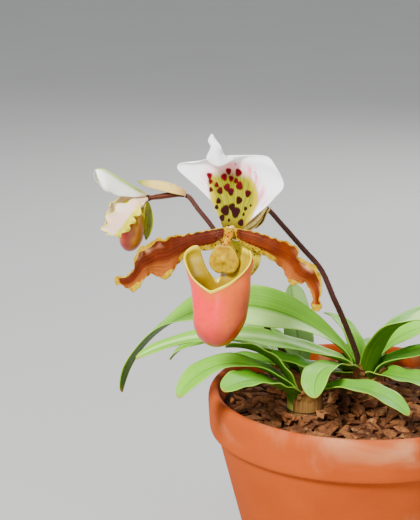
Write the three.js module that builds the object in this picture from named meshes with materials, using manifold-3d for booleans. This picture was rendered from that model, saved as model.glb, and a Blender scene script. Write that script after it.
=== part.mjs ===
// Potted slipper orchid: three fans of strap leaves, one open flower and a second, half-open one,
// in a terracotta pot of bark mix. Millimetres, +Z up, origin at the middle of the pot's flat bottom.
import * as THREE from 'three';
import { mergeVertices } from 'three/addons/utils/BufferGeometryUtils.js';
import Module from 'manifold-3d';

const wasm = await Module();
wasm.setup();

// Driving dimensions: the pot
const clearance = 0.3;
const potHeight = 112;
const potRimRadius = 75;
const potBandHeight = 22;
const potBandStep = 4.5;
const potFootRadius = 47.5;
const potWall = 5.5;
const potFloor = 6;
const potSides = 40;
const drainHoles = 4;
const drainHoleRadius = 5;
const drainRingRadius = 24;

// Driving dimensions: bark mix and rootstock
const mixLevel = 103.5;
const mixCrownRise = 4.5;
const mixCrownSpread = 38;
const mixRings = 5;
const mixSides = potSides / 2;
const chipCount = 34;
const chipSeed = 11;
const chipSpread = 61;
const chipMargin = 8;
const lumpWidth = 9;
const lumpHeight = 15;
const lumpLift = 1.5;
const rhizomeRadius = 4.5;
const rhizomeHeight = 104;
const rootRadius = 1.8;
const rootHole = rootRadius + clearance;

// Driving dimensions: blades, scapes and flowers
const leafThickness = 0.7;
const petalThickness = 0.7;
const pouchWall = 0.8;
const sheathHeight = 5;
const sheathClasp = 50;
const leafGutter = 24;
const tubeSides = 8;
const scapeSteps = 24;

// Each growth is a fan of leaves on its own knob of rootstock, which stands a little out of the mix
const growths = {
  a: { x: 2, y: 0, top: 112, knob: 11.2 },
  b: { x: -28, y: -24, top: 110, knob: 9.8 },
  c: { x: -27.5, y: 8, top: 110, knob: 9.8 },
};

// The stalks' routes, from the growth to the ovary, and their radii at foot and tip
const scapeOneRoute = [
  [2, 0, 112.3], [1.9, 0, 114.5], [-0.6, 0.6, 128], [-8, 2, 147], [-13, 0.5, 158], [-19.5, 0, 172.5],
  [-29, -2, 184], [-39.5, -4.5, 196.5], [-44.5, -6, 202.5], [-47, -8.5, 205], [-48.2, -11, 205.4],
];
const scapeTwoRoute = [
  [-27.5, 8, 110.4], [-27.8, 8.1, 112.5], [-31.5, 8.9, 119], [-38.4, 11, 129], [-44.3, 13.6, 137.4],
  [-51.3, 16.5, 149.4], [-59.2, 22, 164], [-66.7, 27, 178.1], [-73.3, 29.5, 188.1], [-80, 31, 196.4],
  [-84.3, 31.7, 202.2], [-86.5, 32, 203.2],
];
const scapeFoot = 1.5;
const scapeTip = 1.15;

// Where each flower's base sits, and how far it is turned to the left of straight ahead
const flowerOnePlace = [-64.5, -36.5, 199.5];
const flowerOneTurn = 20;
const flowerTwoPlace = [-106, 31.5, 202];
const flowerTwoTurn = 60;
const flowerTwoScale = 0.54;
const receptacleRadius = 3.2;
const ovaryOneGirth = 2.7;
const ovaryTwoGirth = 1.5;

const radians = THREE.MathUtils.degToRad;

function smooth(x) {
  const t = THREE.MathUtils.clamp(x, 0, 1);
  return t * t * (3 - 2 * t);
}

// Catmull-Rom through rows of numbers, each column on its own; t runs from 0 to 1
function alongRows(rows, t) {
  const last = rows.length - 1;
  const place = THREE.MathUtils.clamp(t, 0, 1) * last;
  const index = Math.min(Math.floor(place), last - 1);
  const f = place - index;
  return rows[index].map((_, column) => {
    const [a, b, c, d] = [-1, 0, 1, 2].map(
      (step) => rows[THREE.MathUtils.clamp(index + step, 0, last)][column],
    );
    return b + 0.5 * f * (c - a + f * (2 * a - 5 * b + 4 * c - d + f * (3 * (b - c) + d - a)));
  });
}

function geometryFrom(points, triangles) {
  const geometry = new THREE.BufferGeometry();
  geometry.setAttribute('position', new THREE.Float32BufferAttribute(points.flat(), 3));
  geometry.setIndex(triangles.flat());
  return geometry;
}

// Six times the enclosed volume, negative when the faces point in
function signedVolume(points, triangles) {
  const [a, b, c] = [new THREE.Vector3(), new THREE.Vector3(), new THREE.Vector3()];
  return triangles.reduce((sum, [i, j, k]) => {
    a.fromArray(points[i]);
    b.fromArray(points[j]);
    c.fromArray(points[k]);
    return sum + a.dot(b.cross(c));
  }, 0);
}

function facingOut(points, triangles) {
  const turned = signedVolume(points, triangles) < 0;
  return geometryFrom(points, turned ? triangles.map(([i, j, k]) => [i, k, j]) : triangles);
}

// Merged vertices and no collapsed triangles, as a solid for joining and cutting
function toSolid(geometry) {
  const bare = geometry.clone();
  bare.deleteAttribute('normal');
  bare.deleteAttribute('uv');
  const merged = mergeVertices(bare, 1e-4);
  const index = merged.index.array;
  const kept = [];
  for (let i = 0; i < index.length; i += 3) {
    const [a, b, c] = [index[i], index[i + 1], index[i + 2]];
    if (a !== b && b !== c && c !== a) kept.push(a, b, c);
  }
  return new wasm.Manifold(new wasm.Mesh({
    numProp: 3,
    vertProperties: new Float32Array(merged.attributes.position.array),
    triVerts: new Uint32Array(kept),
  }));
}

function fromSolid(solid) {
  const { vertProperties, triVerts, numProp } = solid.getMesh();
  const points = [];
  for (let i = 0; i < vertProperties.length; i += numProp) {
    points.push([vertProperties[i], vertProperties[i + 1], vertProperties[i + 2]]);
  }
  const triangles = [];
  for (let i = 0; i < triVerts.length; i += 3) {
    triangles.push([triVerts[i], triVerts[i + 1], triVerts[i + 2]]);
  }
  return geometryFrom(points, triangles);
}

function joined(geometries) {
  return geometries.map(toSolid).reduce((sum, solid) => sum.add(solid));
}

const plus = (a, b, scale = 1) => a.map((value, i) => value + scale * b[i]);

function unit(v) {
  const length = Math.hypot(...v) || 1;
  return v.map((value) => value / length);
}

function cross([ax, ay, az], [bx, by, bz]) {
  return [ay * bz - az * by, az * bx - ax * bz, ax * by - ay * bx];
}

// A thin blade from rows of points over its middle surface: both faces are split alike, and the rim
// joins them
function bladeGeometry(rows, thickness) {
  const along = rows.length;
  const across = rows[0].length;
  const at = (i, j) => {
    const row = rows[THREE.MathUtils.clamp(i, 0, along - 1)];
    return row[THREE.MathUtils.clamp(j, 0, across - 1)];
  };
  const sides = [1, -1].map((side) => rows.flatMap((row, i) => row.map((point, j) => {
    const normal = unit(cross(
      plus(at(i + 1, j), at(i - 1, j), -1),
      plus(at(i, j + 1), at(i, j - 1), -1),
    ));
    return plus(point, normal, side * thickness / 2);
  })));
  const points = sides.flat();
  const under = along * across;
  const vertex = (i, j) => i * across + j;
  const triangles = [];
  for (let i = 0; i < along - 1; i += 1) {
    for (let j = 0; j < across - 1; j += 1) {
      const [a, b, c, d] = [vertex(i, j), vertex(i + 1, j), vertex(i + 1, j + 1), vertex(i, j + 1)];
      triangles.push([a, b, c], [a, c, d]);
      triangles.push([a + under, c + under, b + under], [a + under, d + under, c + under]);
    }
  }
  const rim = [];
  for (let j = 0; j < across; j += 1) rim.push(vertex(0, j));
  for (let i = 1; i < along; i += 1) rim.push(vertex(i, across - 1));
  for (let j = across - 2; j >= 0; j -= 1) rim.push(vertex(along - 1, j));
  for (let i = along - 2; i > 0; i -= 1) rim.push(vertex(i, 0));
  rim.forEach((a, k) => {
    const b = rim[(k + 1) % rim.length];
    triangles.push([a, b, b + under], [a, b + under, a + under]);
  });
  return facingOut(points, triangles);
}

// A tube along a curve whose radius may change along it and round it, with flat ends
function tubeGeometry(route, radiusAt, sides, steps) {
  const curve = new THREE.CatmullRomCurve3(route.map((point) => new THREE.Vector3(...point)));
  const frames = curve.computeFrenetFrames(steps, false);
  const points = [];
  for (let i = 0; i <= steps; i += 1) {
    const centre = curve.getPointAt(i / steps);
    for (let j = 0; j < sides; j += 1) {
      const angle = 2 * Math.PI * j / sides;
      const radius = radiusAt(i / steps, angle);
      const spoke = frames.normals[i].clone().multiplyScalar(radius * Math.cos(angle));
      spoke.addScaledVector(frames.binormals[i], radius * Math.sin(angle));
      points.push(centre.clone().add(spoke).toArray());
    }
  }
  const triangles = [];
  for (let i = 0; i < steps; i += 1) {
    for (let j = 0; j < sides; j += 1) {
      const [a, b] = [i * sides + j, i * sides + (j + 1) % sides];
      triangles.push([a, b, b + sides], [a, b + sides, a + sides]);
    }
  }
  const top = steps * sides;
  for (let j = 1; j < sides - 1; j += 1) {
    triangles.push([0, j + 1, j], [top, top + j, top + j + 1]);
  }
  return facingOut(points, triangles);
}

// A profile of [radius, height] pairs turned round the Z axis at a place
function turned(profile, sides, x = 0, y = 0) {
  const outline = profile.map(([radius, height]) => new THREE.Vector2(radius, height));
  const geometry = new THREE.LatheGeometry(outline, sides);
  geometry.rotateX(Math.PI / 2);
  geometry.translate(x, y, 0);
  return geometry;
}

// The pot: tapered body, a band round the mouth with rounded edges, a flat foot and drain holes
const potBandBottom = potHeight - potBandHeight;
const potBodyTop = potRimRadius - potBandStep;
const potMouth = potRimRadius - potWall;
const potInnerFoot = potFootRadius - potWall + 1;

function potGeometry() {
  const profile = [
    [0, 0], [potFootRadius - 1.5, 0], [potFootRadius, 1.5], [potBodyTop, potBandBottom],
    [potRimRadius - 1.5, potBandBottom + 1], [potRimRadius - 0.8, potBandBottom + 3],
    [potRimRadius, potHeight - 4], [potRimRadius - 1.2, potHeight - 1], [potRimRadius - 2.6, potHeight],
    [potMouth + 1, potHeight - 0.4], [potMouth, potHeight - 2], [potInnerFoot + 2, potFloor + 1],
    [potInnerFoot, potFloor], [0, potFloor],
  ];
  let solid = toSolid(turned(profile, potSides));
  for (let i = 0; i < drainHoles; i += 1) {
    const angle = 2 * Math.PI * (i + 0.5) / drainHoles;
    const hole = new THREE.CylinderGeometry(drainHoleRadius, drainHoleRadius, 3 * potFloor, 12);
    hole.rotateX(Math.PI / 2);
    hole.translate(drainRingRadius * Math.cos(angle), drainRingRadius * Math.sin(angle), potFloor / 2);
    solid = solid.subtract(toSolid(hole));
  }
  return fromSolid(solid);
}

function potInnerRadius(height) {
  const low = potFloor + 1;
  const high = potHeight - 2;
  const t = (height - low) / (high - low);
  return THREE.MathUtils.lerp(potInnerFoot + 2, potMouth, t);
}

// The rootstock: a knob under each fan, short rhizomes between them and roots down into the mix.
// Grown by the clearance, the same solid cuts its own hole in the mix.
const rootRuns = [
  [[4, 2, 104], [18, 10, 92], [30, 14, 70], [34, 16, 46]],
  [[2, -4, 104], [10, -20, 90], [16, -30, 64], [14, -32, 38]],
  [[-2, 4, 104], [-2, 22, 90], [4, 34, 66], [6, 36, 42]],
  [[-30, -26, 102], [-38, -34, 84], [-36, -30, 60], [-30, -22, 36]],
  [[-30, 10, 102], [-42, 18, 86], [-42, 16, 60], [-34, 12, 34]],
];

function rootstockSolid(grow) {
  const knobs = Object.values(growths).map(({ x, y, top, knob }) => turned([
    [0, top - 14 - grow], [knob * 0.6 + grow, top - 13 - grow], [knob + grow, top - 7],
    [knob + grow, top - 1], [knob - 0.8 + grow, top + grow], [0, top + grow],
  ], 12, x, y));
  const rhizome = (from, to) => tubeGeometry(
    [[from.x, from.y, rhizomeHeight], [to.x, to.y, rhizomeHeight]],
    () => rhizomeRadius + grow,
    tubeSides,
    1,
  );
  const rhizomes = [rhizome(growths.a, growths.c), rhizome(growths.c, growths.b)];
  const roots = rootRuns.map((run) => tubeGeometry(
    run,
    (t) => (grow ? rootHole : rootRadius) * (1 - 0.25 * t),
    6,
    5,
  ));
  return joined([...knobs, ...rhizomes, ...roots]);
}

function mixTop(radius) {
  return mixLevel + mixCrownRise * Math.exp(-((radius / mixCrownSpread) ** 2));
}

// A small repeatable random stream for the chips of bark
function randomStream(seed) {
  let state = seed;
  return () => {
    state = (state * 16807) % 2147483647;
    return state / 2147483647;
  };
}

function barkChip(random, length, width, height) {
  const chip = new THREE.BoxGeometry(length, width, height);
  chip.deleteAttribute('normal');
  chip.deleteAttribute('uv');
  const merged = mergeVertices(chip);
  const position = merged.attributes.position;
  for (let i = 0; i < position.count; i += 1) {
    position.setX(i, position.getX(i) * (0.72 + 0.28 * random()));
    position.setY(i, position.getY(i) * (0.7 + 0.3 * random()));
  }
  return merged;
}

// Chips lie in a sunflower spread over the mix, away from the fans; a few lumps lean on the front one
function barkChips() {
  const random = randomStream(chipSeed);
  const golden = Math.PI * (3 - Math.sqrt(5));
  const chips = [];
  for (let i = 0; i < chipCount; i += 1) {
    const radius = chipSpread * Math.sqrt((i + 0.6) / chipCount);
    const angle = golden * i;
    const [x, y] = [radius * Math.cos(angle), radius * Math.sin(angle)];
    const chip = barkChip(random, 10 + 5 * random(), 7 + 4 * random(), 6);
    chip.rotateX(radians(16 * (random() - 0.5)));
    chip.rotateY(radians(16 * (random() - 0.5)));
    chip.rotateZ(Math.PI * random());
    chip.translate(x, y, mixTop(radius) - 1.2 + 0.8 * random());
    const clear = (fan) => Math.hypot(x - fan.x, y - fan.y) > fan.knob + chipMargin;
    if (Object.values(growths).every(clear)) chips.push(chip);
  }
  const lumps = [[-6, -18, 14, 20], [4, -20.5, 13, -12], [-13, -9, 11, 65]];
  lumps.forEach(([x, y, length, turn]) => {
    const lump = barkChip(random, length, lumpWidth, lumpHeight);
    lump.rotateZ(radians(turn));
    lump.translate(x, y, mixTop(Math.hypot(x, y)) + lumpLift);
    chips.push(lump);
  });
  return chips;
}

function mixGeometry() {
  const bottom = potFloor + clearance;
  const top = mixTop(70);
  const foot = bottom + 1.5;
  const profile = [
    [0, bottom], [potInnerFoot - clearance, bottom], [potInnerRadius(foot) - 0.4, foot],
    [potInnerRadius(top) - 0.4, top],
  ];
  for (let i = mixRings - 1; i >= 0; i -= 1) {
    const radius = 60 * i / (mixRings - 1);
    profile.push([radius, mixTop(radius)]);
  }
  const mix = toSolid(turned(profile, mixSides));
  const heap = barkChips().map(toSolid).reduce((sum, chip) => sum.add(chip), mix);
  return fromSolid(heap.subtract(rootstockSolid(clearance)));
}

// The leaves, named by fan. ring: the radius at which the sheath clasps the fan; facing: direction from
// +X, in degrees; length: along the blade; rise and fall: how steeply the blade leaves the sheath and
// how steeply it ends; late: how late its fall comes; sweep: how far it turns sideways; roll: how far
// it leans over; half: half its width; lean: a further lean in its middle that comes back.
const leafFields = [
  'name', 'ring', 'facing', 'length', 'rise', 'fall', 'late', 'sweep', 'roll', 'half', 'lean',
];
const leafRows = [
  ['a1', 6.8, 196, 126, 23, -21, 2, 10, 0, 8.5, -14],
  ['a2', 5.4, 176, 162, 52, -80, 1.2, -8, 25, 10.5, -75],
  ['a3', 2.9, 98, 50, 61, 2, 1.1, 44, 8, 4.9, 0],
  ['a4', 9.6, 208, 52, 15, 24, 0.7, -16, -12, 6.5, 0],
  ['a5', 8.2, 226, 67, 49, -22, 0.7, 47, 12, 8, 0],
  ['a6', 6.8, -63, 104, 73, -45, 1.3, 46, 12, 9, 0],
  ['a7', 4, 14, 84, 64, -60, 1.1, 14, 15, 8.5, 0],
  ['a8', 5.4, 48, 96, 36, -20, 0.9, 1, 15, 8.5, 0],
  ['a9', 8.2, -10, 98, 31, -22, 1, 10, 15, 8, 0],
  ['a10', 9.6, -51, 66, 12, -6, 1, 24, 10, 8, 0],
  ['a11', 9.6, 74, 54, 12, -16, 1, 0, 8, 8, 0],
  ['b1', 5.6, 189, 52, 78, -13, 1.2, -20, 25, 8, 0],
  ['b2', 7, 194, 78, 51, -50, 1.3, 28, -8, 8, 0],
  ['b3', 8.4, 218, 56, 37, -19, 1.7, 10, -10, 9, 0],
  ['b4', 7, -36, 60, 38, -36, 1, 0, 0, 8, 0],
  ['c1', 5.6, 216, 85, 43, -58, 1.9, -64, -12, 7, 0],
  ['c2', 4.2, 98, 50.5, 68, 80, 1.4, 42, 0, 8.4, 0],
  ['c3', 7, 121, 60, 39, -20, 1, 6, 0, 7.5, 0],
  ['c4', 8.4, 159, 50, 17, -20, 1, 8, 0, 7.5, 0],
];
const leaves = leafRows.map((row) => {
  const leaf = Object.fromEntries(leafFields.map((key, i) => [key, row[i]]));
  return { ...leaf, fan: leaf.name[0] };
});

const leafSteps = 12;
const leafColumns = 4;
const spineSteps = 96;

// The run of the leaf's midrib: a point, the way along and the two ways across, at each small step
function leafSpine(leaf) {
  const fan = growths[leaf.fan];
  const facing = radians(leaf.facing);
  const point = new THREE.Vector3(
    fan.x + leaf.ring * Math.cos(facing),
    fan.y + leaf.ring * Math.sin(facing),
    fan.top + clearance,
  );
  const direction = (s) => {
    const sheath = sheathHeight / leaf.length;
    const out = THREE.MathUtils.clamp((s - sheath) / (1 - sheath), 0, 1);
    const slope = leaf.rise + (leaf.fall - leaf.rise) * out ** leaf.late;
    const climb = radians(88 + (slope - 88) * smooth(out / 0.12));
    const turn = radians(leaf.facing + leaf.sweep * out ** 1.5);
    const along = new THREE.Vector3(
      Math.cos(climb) * Math.cos(turn),
      Math.cos(climb) * Math.sin(turn),
      Math.sin(climb),
    );
    const side = new THREE.Vector3(-Math.sin(turn), Math.cos(turn), 0);
    const up = new THREE.Vector3().crossVectors(along, side);
    const twist = leaf.lean * Math.exp(-(((out - 0.42) / 0.2) ** 2));
    const roll = radians(leaf.roll * smooth(out / 0.9) + twist);
    return { out, along, side: side.applyAxisAngle(along, roll), up: up.applyAxisAngle(along, roll) };
  };
  const spine = [];
  for (let i = 0; i <= spineSteps; i += 1) {
    spine.push({ ...direction(i / spineSteps), s: i / spineSteps, point: point.clone() });
    point.addScaledVector(direction((i + 0.5) / spineSteps).along, leaf.length / spineSteps);
  }
  return spine;
}

// Half the leaf's width along its surface, and half the angle that its gutter turns through
function leafSection(leaf, { s, out }) {
  const clasp = radians(sheathClasp);
  const foot = clasp * leaf.ring;
  const tip = THREE.MathUtils.clamp((s - 0.55) / 0.45, 0, 1);
  const half = (foot + (leaf.half - foot) * smooth(out / 0.4)) * Math.sqrt(Math.max(0, 1 - tip ** 2.4));
  const bend = clasp + (radians(leafGutter) - clasp) * smooth(out / 0.35);
  return { half: Math.max(half, 0.5), bend };
}

function leafGeometry(leaf) {
  const spine = leafSpine(leaf);
  const rows = [];
  for (let i = 0; i <= leafSteps; i += 1) {
    const station = spine[Math.round(spineSteps * (i / leafSteps) ** 1.4)];
    const { half, bend } = leafSection(leaf, station);
    const radius = half / bend;
    const row = [];
    for (let j = 0; j <= leafColumns; j += 1) {
      const angle = bend * (2 * j / leafColumns - 1);
      const point = station.point.clone();
      point.addScaledVector(station.side, radius * Math.sin(angle));
      point.addScaledVector(station.up, radius * (1 - Math.cos(angle)));
      row.push(point.toArray());
    }
    rows.push(row);
  }
  return bladeGeometry(rows, leafThickness);
}

function scapeGeometry(route, foot, tip) {
  return tubeGeometry(route, (t) => foot + (tip - foot) * t, tubeSides, scapeSteps);
}

// Flower parts are set out as [right, up, forward] from the flower's base
const placed = ([right, up, forward]) => [right, -forward, up];

// A petal or sepal from stations along it: the points of one edge, the middle and the other edge
function sepalGeometry(stations, along, across, thickness, scale = 1) {
  const rows = [];
  for (let i = 0; i <= along; i += 1) {
    const station = alongRows(stations.map((edges) => edges.flat()), i / along);
    const [first, middle, second] = [0, 3, 6].map((k) => station.slice(k, k + 3));
    const row = [];
    for (let j = 0; j <= across; j += 1) {
      const u = 2 * j / across - 1;
      const point = middle.map((m, k) => (
        m + (second[k] - first[k]) / 2 * u + ((first[k] + second[k]) / 2 - m) * u * u
      ));
      row.push(placed(point.map((value) => value * scale)));
    }
    rows.push(row);
  }
  return bladeGeometry(rows, thickness);
}

// Dorsal sepal of the open flower: broad wings, and an apex that folds forward and turns up
const dorsalOne = [
  [[-4.8, 3.7, -1.1], [0.6, 3.7, -1.4], [6.4, 3.1, -1.2]],
  [[-7.3, 8, -1.8], [1, 8, -2.6], [9.4, 6.6, -1.6]],
  [[-10.5, 13.5, -3], [1, 14.5, -4], [15.6, 12.4, -3.3]],
  [[-16.5, 18.2, -4], [0.5, 20, -4.8], [20, 17.2, -4]],
  [[-22.6, 23.2, -4], [0, 25.5, -5], [23.6, 21.8, -4.5]],
  [[-27.3, 27.7, -3], [0, 30, -4.5], [22.6, 26.8, -4.4]],
  [[-25.5, 30.4, -2.6], [-0.5, 33, -3.4], [19.9, 31.6, -4]],
  [[-19, 31, -2], [-0.8, 34.4, -2.4], [16, 35.6, -4]],
  [[-13.2, 33, -0.6], [-1.2, 35.4, -0.4], [9.5, 35.9, -3.4]],
  [[-11.3, 33.6, 1.4], [-1.8, 35.6, 3.2], [3, 34.4, -1.2]],
  [[-10.3, 34, 3.8], [-3.5, 32, 7], [0.8, 34.6, 2.6]],
  [[-9.3, 36, 6], [-4.4, 36, 8.8], [-1.6, 37.6, 6]],
  [[-6.9, 40.8, 8], [-4.6, 40.6, 9.6], [-2, 41.2, 7.8]],
  [[-7.7, 43.6, 8.6], [-6, 44.2, 9.4], [-4.4, 44.2, 8.7]],
  [[-6.4, 46.4, 9], [-5.9, 46.7, 9.1], [-5.3, 46.2, 9]],
];

// Left and right petals, upper edge first, with the waves of their margins
const petalLeft = [
  [[-3.4, 2.2, 0], [-3.4, -0.8, 0.1], [-3.4, -3.6, 0.1]],
  [[-8, 1.2, 0], [-8, -3, 1.2], [-8, -8, 0.8]],
  [[-13, 0, 0], [-13.5, -4.5, 1.2], [-14.5, -9.8, 0.8]],
  [[-18, -1.2, 0.5], [-18.5, -6, 1.5], [-19.5, -12, 1]],
  [[-23.5, -2.6, 1], [-23.5, -8.5, 2], [-23.5, -14.5, 0.8]],
  [[-27.5, -2.8, 1.8], [-27.5, -11, 2.2], [-27, -19, 2]],
  [[-31.5, -4.8, 3.2], [-31, -13, 2.5], [-29.5, -23.5, 3.8]],
  [[-35.8, -4.8, 1.2], [-35.5, -14, 2.4], [-34.5, -23.8, 2.6]],
  [[-40, -8, 3.2], [-39, -16, 2.6], [-38.5, -22.8, 1.4]],
  [[-44.5, -10, 1.2], [-42.5, -18, 2.8], [-41, -24, 3.2]],
  [[-47, -15.5, 3.2], [-45, -21.5, 3], [-44, -28.8, 4.6]],
  [[-48, -21, 1.2], [-48, -25.5, 3], [-47.5, -31.8, 3.8]],
  [[-52.5, -24.6, 3.2], [-51.5, -27.5, 3.4], [-51.5, -30.5, 2]],
  [[-56, -24.6, 4], [-55, -27, 4], [-54, -28.8, 3.6]],
  [[-57, -26, 4], [-56.8, -27, 4], [-56.2, -29.4, 4]],
];
const petalRight = [
  [[3.5, 2.3, 0], [3.5, -0.7, 0.1], [3.5, -3.4, 0.1]],
  [[8, 2, 0], [8, -1.8, 1], [8.5, -6.2, 0.8]],
  [[13.5, 1.2, 0], [13, -3, 1.2], [13, -7.8, 1]],
  [[18, 0.3, 0.6], [17.5, -4.5, 1.5], [17, -9.5, 1]],
  [[22.4, -0.8, 1], [21.8, -6.2, 1.5], [20.7, -11.4, 1]],
  [[28, -1.4, 2.8], [26.8, -8, 1.8], [25.3, -14.5, 1.2]],
  [[32.8, -4.6, 1.2], [30.5, -11, 1.8], [27.8, -18, 2.8]],
  [[33, -8, 2.8], [32, -14, 2], [30.2, -20.6, 4]],
  [[37, -10, 1.2], [34.5, -16, 1.8], [33.8, -20.8, 2.6]],
  [[41.2, -11.6, 3], [37.8, -17.5, 1.8], [35.8, -20, 0.8]],
  [[43.4, -16.5, 1], [40, -20.5, 1.8], [37.5, -21.8, 1.2]],
  [[44.5, -22.5, 2.4], [41.8, -23.5, 2.2], [39.2, -24, 2.2]],
  [[43.8, -27, 3.4], [42.2, -27.2, 2.6], [40.4, -27, 3]],
  [[44.8, -30, 2.2], [42.2, -30, 3], [39.6, -29.6, 3.4]],
  [[43.6, -32.2, 3], [42.2, -32.6, 3.2], [40.6, -32, 3]],
];

// The joined lower sepals, behind the pouch
const synsepalOne = [
  [[-2.5, -3.9, -1], [0, -3.9, -1.4], [2.5, -3.9, -1]],
  [[-6, -7, -2.4], [1.5, -7.5, -4], [12, -6.6, -2.6]],
  [[-8, -12, -3], [2.5, -13, -5], [13.6, -10.5, -3.2]],
  [[-7, -17.5, -3.4], [2.5, -18, -5.4], [12.6, -15.5, -3.8]],
  [[-3, -22, -4], [2.5, -22.5, -5.6], [9, -20.5, -4.6]],
  [[1, -24.4, -4.6], [2.5, -24.8, -5], [4, -24.4, -4.8]],
];

// The half-open flower, near side first: its dorsal sepal is a roof over the petals and pouch
const dorsalTwo = [
  [[1.4, 1.9, 0.3], [0, 2.3, 0.3], [-1.4, 1.9, 0.3]],
  [[3.5, 1.9, 7], [0, 5.5, 6], [-3.5, 1.9, 7]],
  [[5, 3, 13.5], [0, 9, 11], [-5, 3, 13.5]],
  [[6, 4.4, 20], [0, 13, 17], [-6, 4.4, 20]],
  [[6.5, 7.4, 24.5], [0, 16, 22.5], [-6.5, 7.4, 24.5]],
  [[6.2, 8.7, 28], [0, 17.3, 26], [-6.2, 8.7, 28]],
  [[3.5, 13, 30.5], [0, 17.4, 28.5], [-3.5, 13, 30.5]],
  [[0.6, 16.6, 30], [0, 17, 30], [-0.6, 16.6, 30]],
];
const petalTwo = [
  [[2.2, 0.7, 0.9], [2.4, 0, 0.8], [2.2, -0.8, 0.7]],
  [[3.6, 0.9, 6], [5, 0.2, 5.5], [6.4, -0.6, 4.6]],
  [[5.2, 0.8, 12.5], [7.8, -0.8, 10.5], [9.6, -3.8, 8.5]],
  [[6.2, -0.4, 19], [8.4, -4, 15], [9.9, -6.8, 11.5]],
  [[7.2, -3.4, 24], [8.8, -7.2, 18.8], [10, -9.4, 12.9]],
  [[8, -7.5, 27], [9, -10, 21.5], [9.8, -12, 15.2]],
  [[8.6, -11.5, 28.5], [9.4, -12.8, 24], [9.8, -15, 18.6]],
  [[9.4, -14, 27.5], [9.8, -14.6, 25], [10, -15.6, 22]],
];
const synsepalTwo = [
  [[1.4, -2, -0.4], [0, -2.1, -0.6], [-1.4, -2, -0.4]],
  [[5.2, -6.5, -1.8], [0, -7.5, -3], [-5.2, -6.5, -1.8]],
  [[6.4, -12, -1.6], [0, -13, -3], [-6.4, -12, -1.6]],
  [[4.8, -17.4, -0.8], [0, -18.5, -1.6], [-4.8, -17.4, -0.8]],
  [[0.8, -21.4, 0.2], [0, -21.8, 0], [-0.8, -21.4, 0.2]],
];

// The pouch: how high its edge stands, every 20 degrees from the front round to the back
const pouchBottom = -49;
const pouchCap = 15;
const rimOne = [-19.8, -19.2, -16.6, -12, -7, -4.8, -7.6, -18.5, -20, -4];
const rimTwo = [-19.5, -19, -17, -14, -11, -10, -12, -16, -17, -4];

function pouchPoint(rimHeights, turn, v) {
  const aside = Math.abs(turn) / Math.PI;
  const [rim] = alongRows(rimHeights.map((height) => [height]), aside);
  const height = pouchBottom + (rim - pouchBottom) * (1 - Math.cos(v * Math.PI / 2)) ** 0.8;
  const cap = Math.sqrt(1 - (1 - Math.min(1, (height - pouchBottom) / pouchCap)) ** 2);
  const behind = smooth((aside - 0.47) / 0.22);
  const flare = 4.1 * THREE.MathUtils.clamp((height + 42) / 32, 0, 1) ** 1.5;
  const tuckedTop = 2.6 * smooth((height + 9) / 6);
  const width = (12.1 + flare - tuckedTop) * (1 - 0.17 * behind * smooth((height + 26) / 8));
  const claw = 2.9 * smooth((height + 14) / 11) * Math.max(0, -Math.cos(turn)) ** 6;
  const shift = 1.2 * smooth((-14 - height) / 9) - 1.2 * smooth((-32 - height) / 14);
  const middle = 14.5 + 4.5 * (-3 - height) / 46;
  return [
    shift + cap * width * Math.sin(turn),
    height,
    middle + cap * (11 + claw) * Math.cos(turn),
  ];
}

// A thin shell, open at the mouth: the outer skin, the same skin drawn inwards, and the edge
function pouchGeometry(rimHeights, round, rings, scale) {
  const outer = [];
  for (let i = 1; i <= rings; i += 1) {
    const ring = [];
    for (let j = 0; j < round; j += 1) {
      const turn = Math.PI * (2 * j / round - 1);
      const point = placed(pouchPoint(rimHeights, turn, i / rings));
      ring.push(point.map((value) => value * scale));
    }
    outer.push(ring);
  }
  const floor = placed(pouchPoint(rimHeights, 0, 0)).map((value) => value * scale);
  const at = (i, j) => (i < 0 ? floor : outer[Math.min(i, rings - 1)][(j + round) % round]);
  const inner = outer.map((ring, i) => ring.map((point, j) => {
    const normal = unit(cross(
      plus(at(i, j + 1), at(i, j - 1), -1),
      plus(at(i + 1, j), at(i - 1, j), -1),
    ));
    return plus(point, normal, -pouchWall);
  }));
  const points = [floor, plus(floor, [0, 0, pouchWall]), ...outer.flat(), ...inner.flat()];
  const outside = (i, j) => 2 + i * round + j % round;
  const inside = (i, j) => outside(i, j) + rings * round;
  const triangles = [];
  for (let j = 0; j < round; j += 1) {
    triangles.push([0, outside(0, j + 1), outside(0, j)], [1, inside(0, j), inside(0, j + 1)]);
    for (let i = 0; i < rings - 1; i += 1) {
      const [a, b, c, d] = [outside(i, j), outside(i, j + 1), outside(i + 1, j + 1), outside(i + 1, j)];
      const shift = rings * round;
      triangles.push([a, b, c], [a, c, d]);
      triangles.push([a + shift, c + shift, b + shift], [a + shift, d + shift, c + shift]);
    }
    const [a, b] = [outside(rings - 1, j), outside(rings - 1, j + 1)];
    const [c, d] = [inside(rings - 1, j + 1), inside(rings - 1, j)];
    triangles.push([a, b, c], [a, c, d]);
  }
  return facingOut(points, triangles);
}

// The column bends down from the flower's base and carries the shield, a domed heart with a boss
const shieldMiddle = [-0.3, -10.8, 8.4];
const shieldHalfWidth = 7.3;
const shieldHalfHeight = 6.6;
// How far its outline stands out or in from an ellipse, from the right and round by way of the top
const shieldOutline = [
  1, 0.96, 0.965, 1.05, 1.15, 1, 0.915, 0.91, 0.95, 1.02, 1.05, 1.05, 0.93, 1.05, 1.08, 1.04,
];

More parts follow.
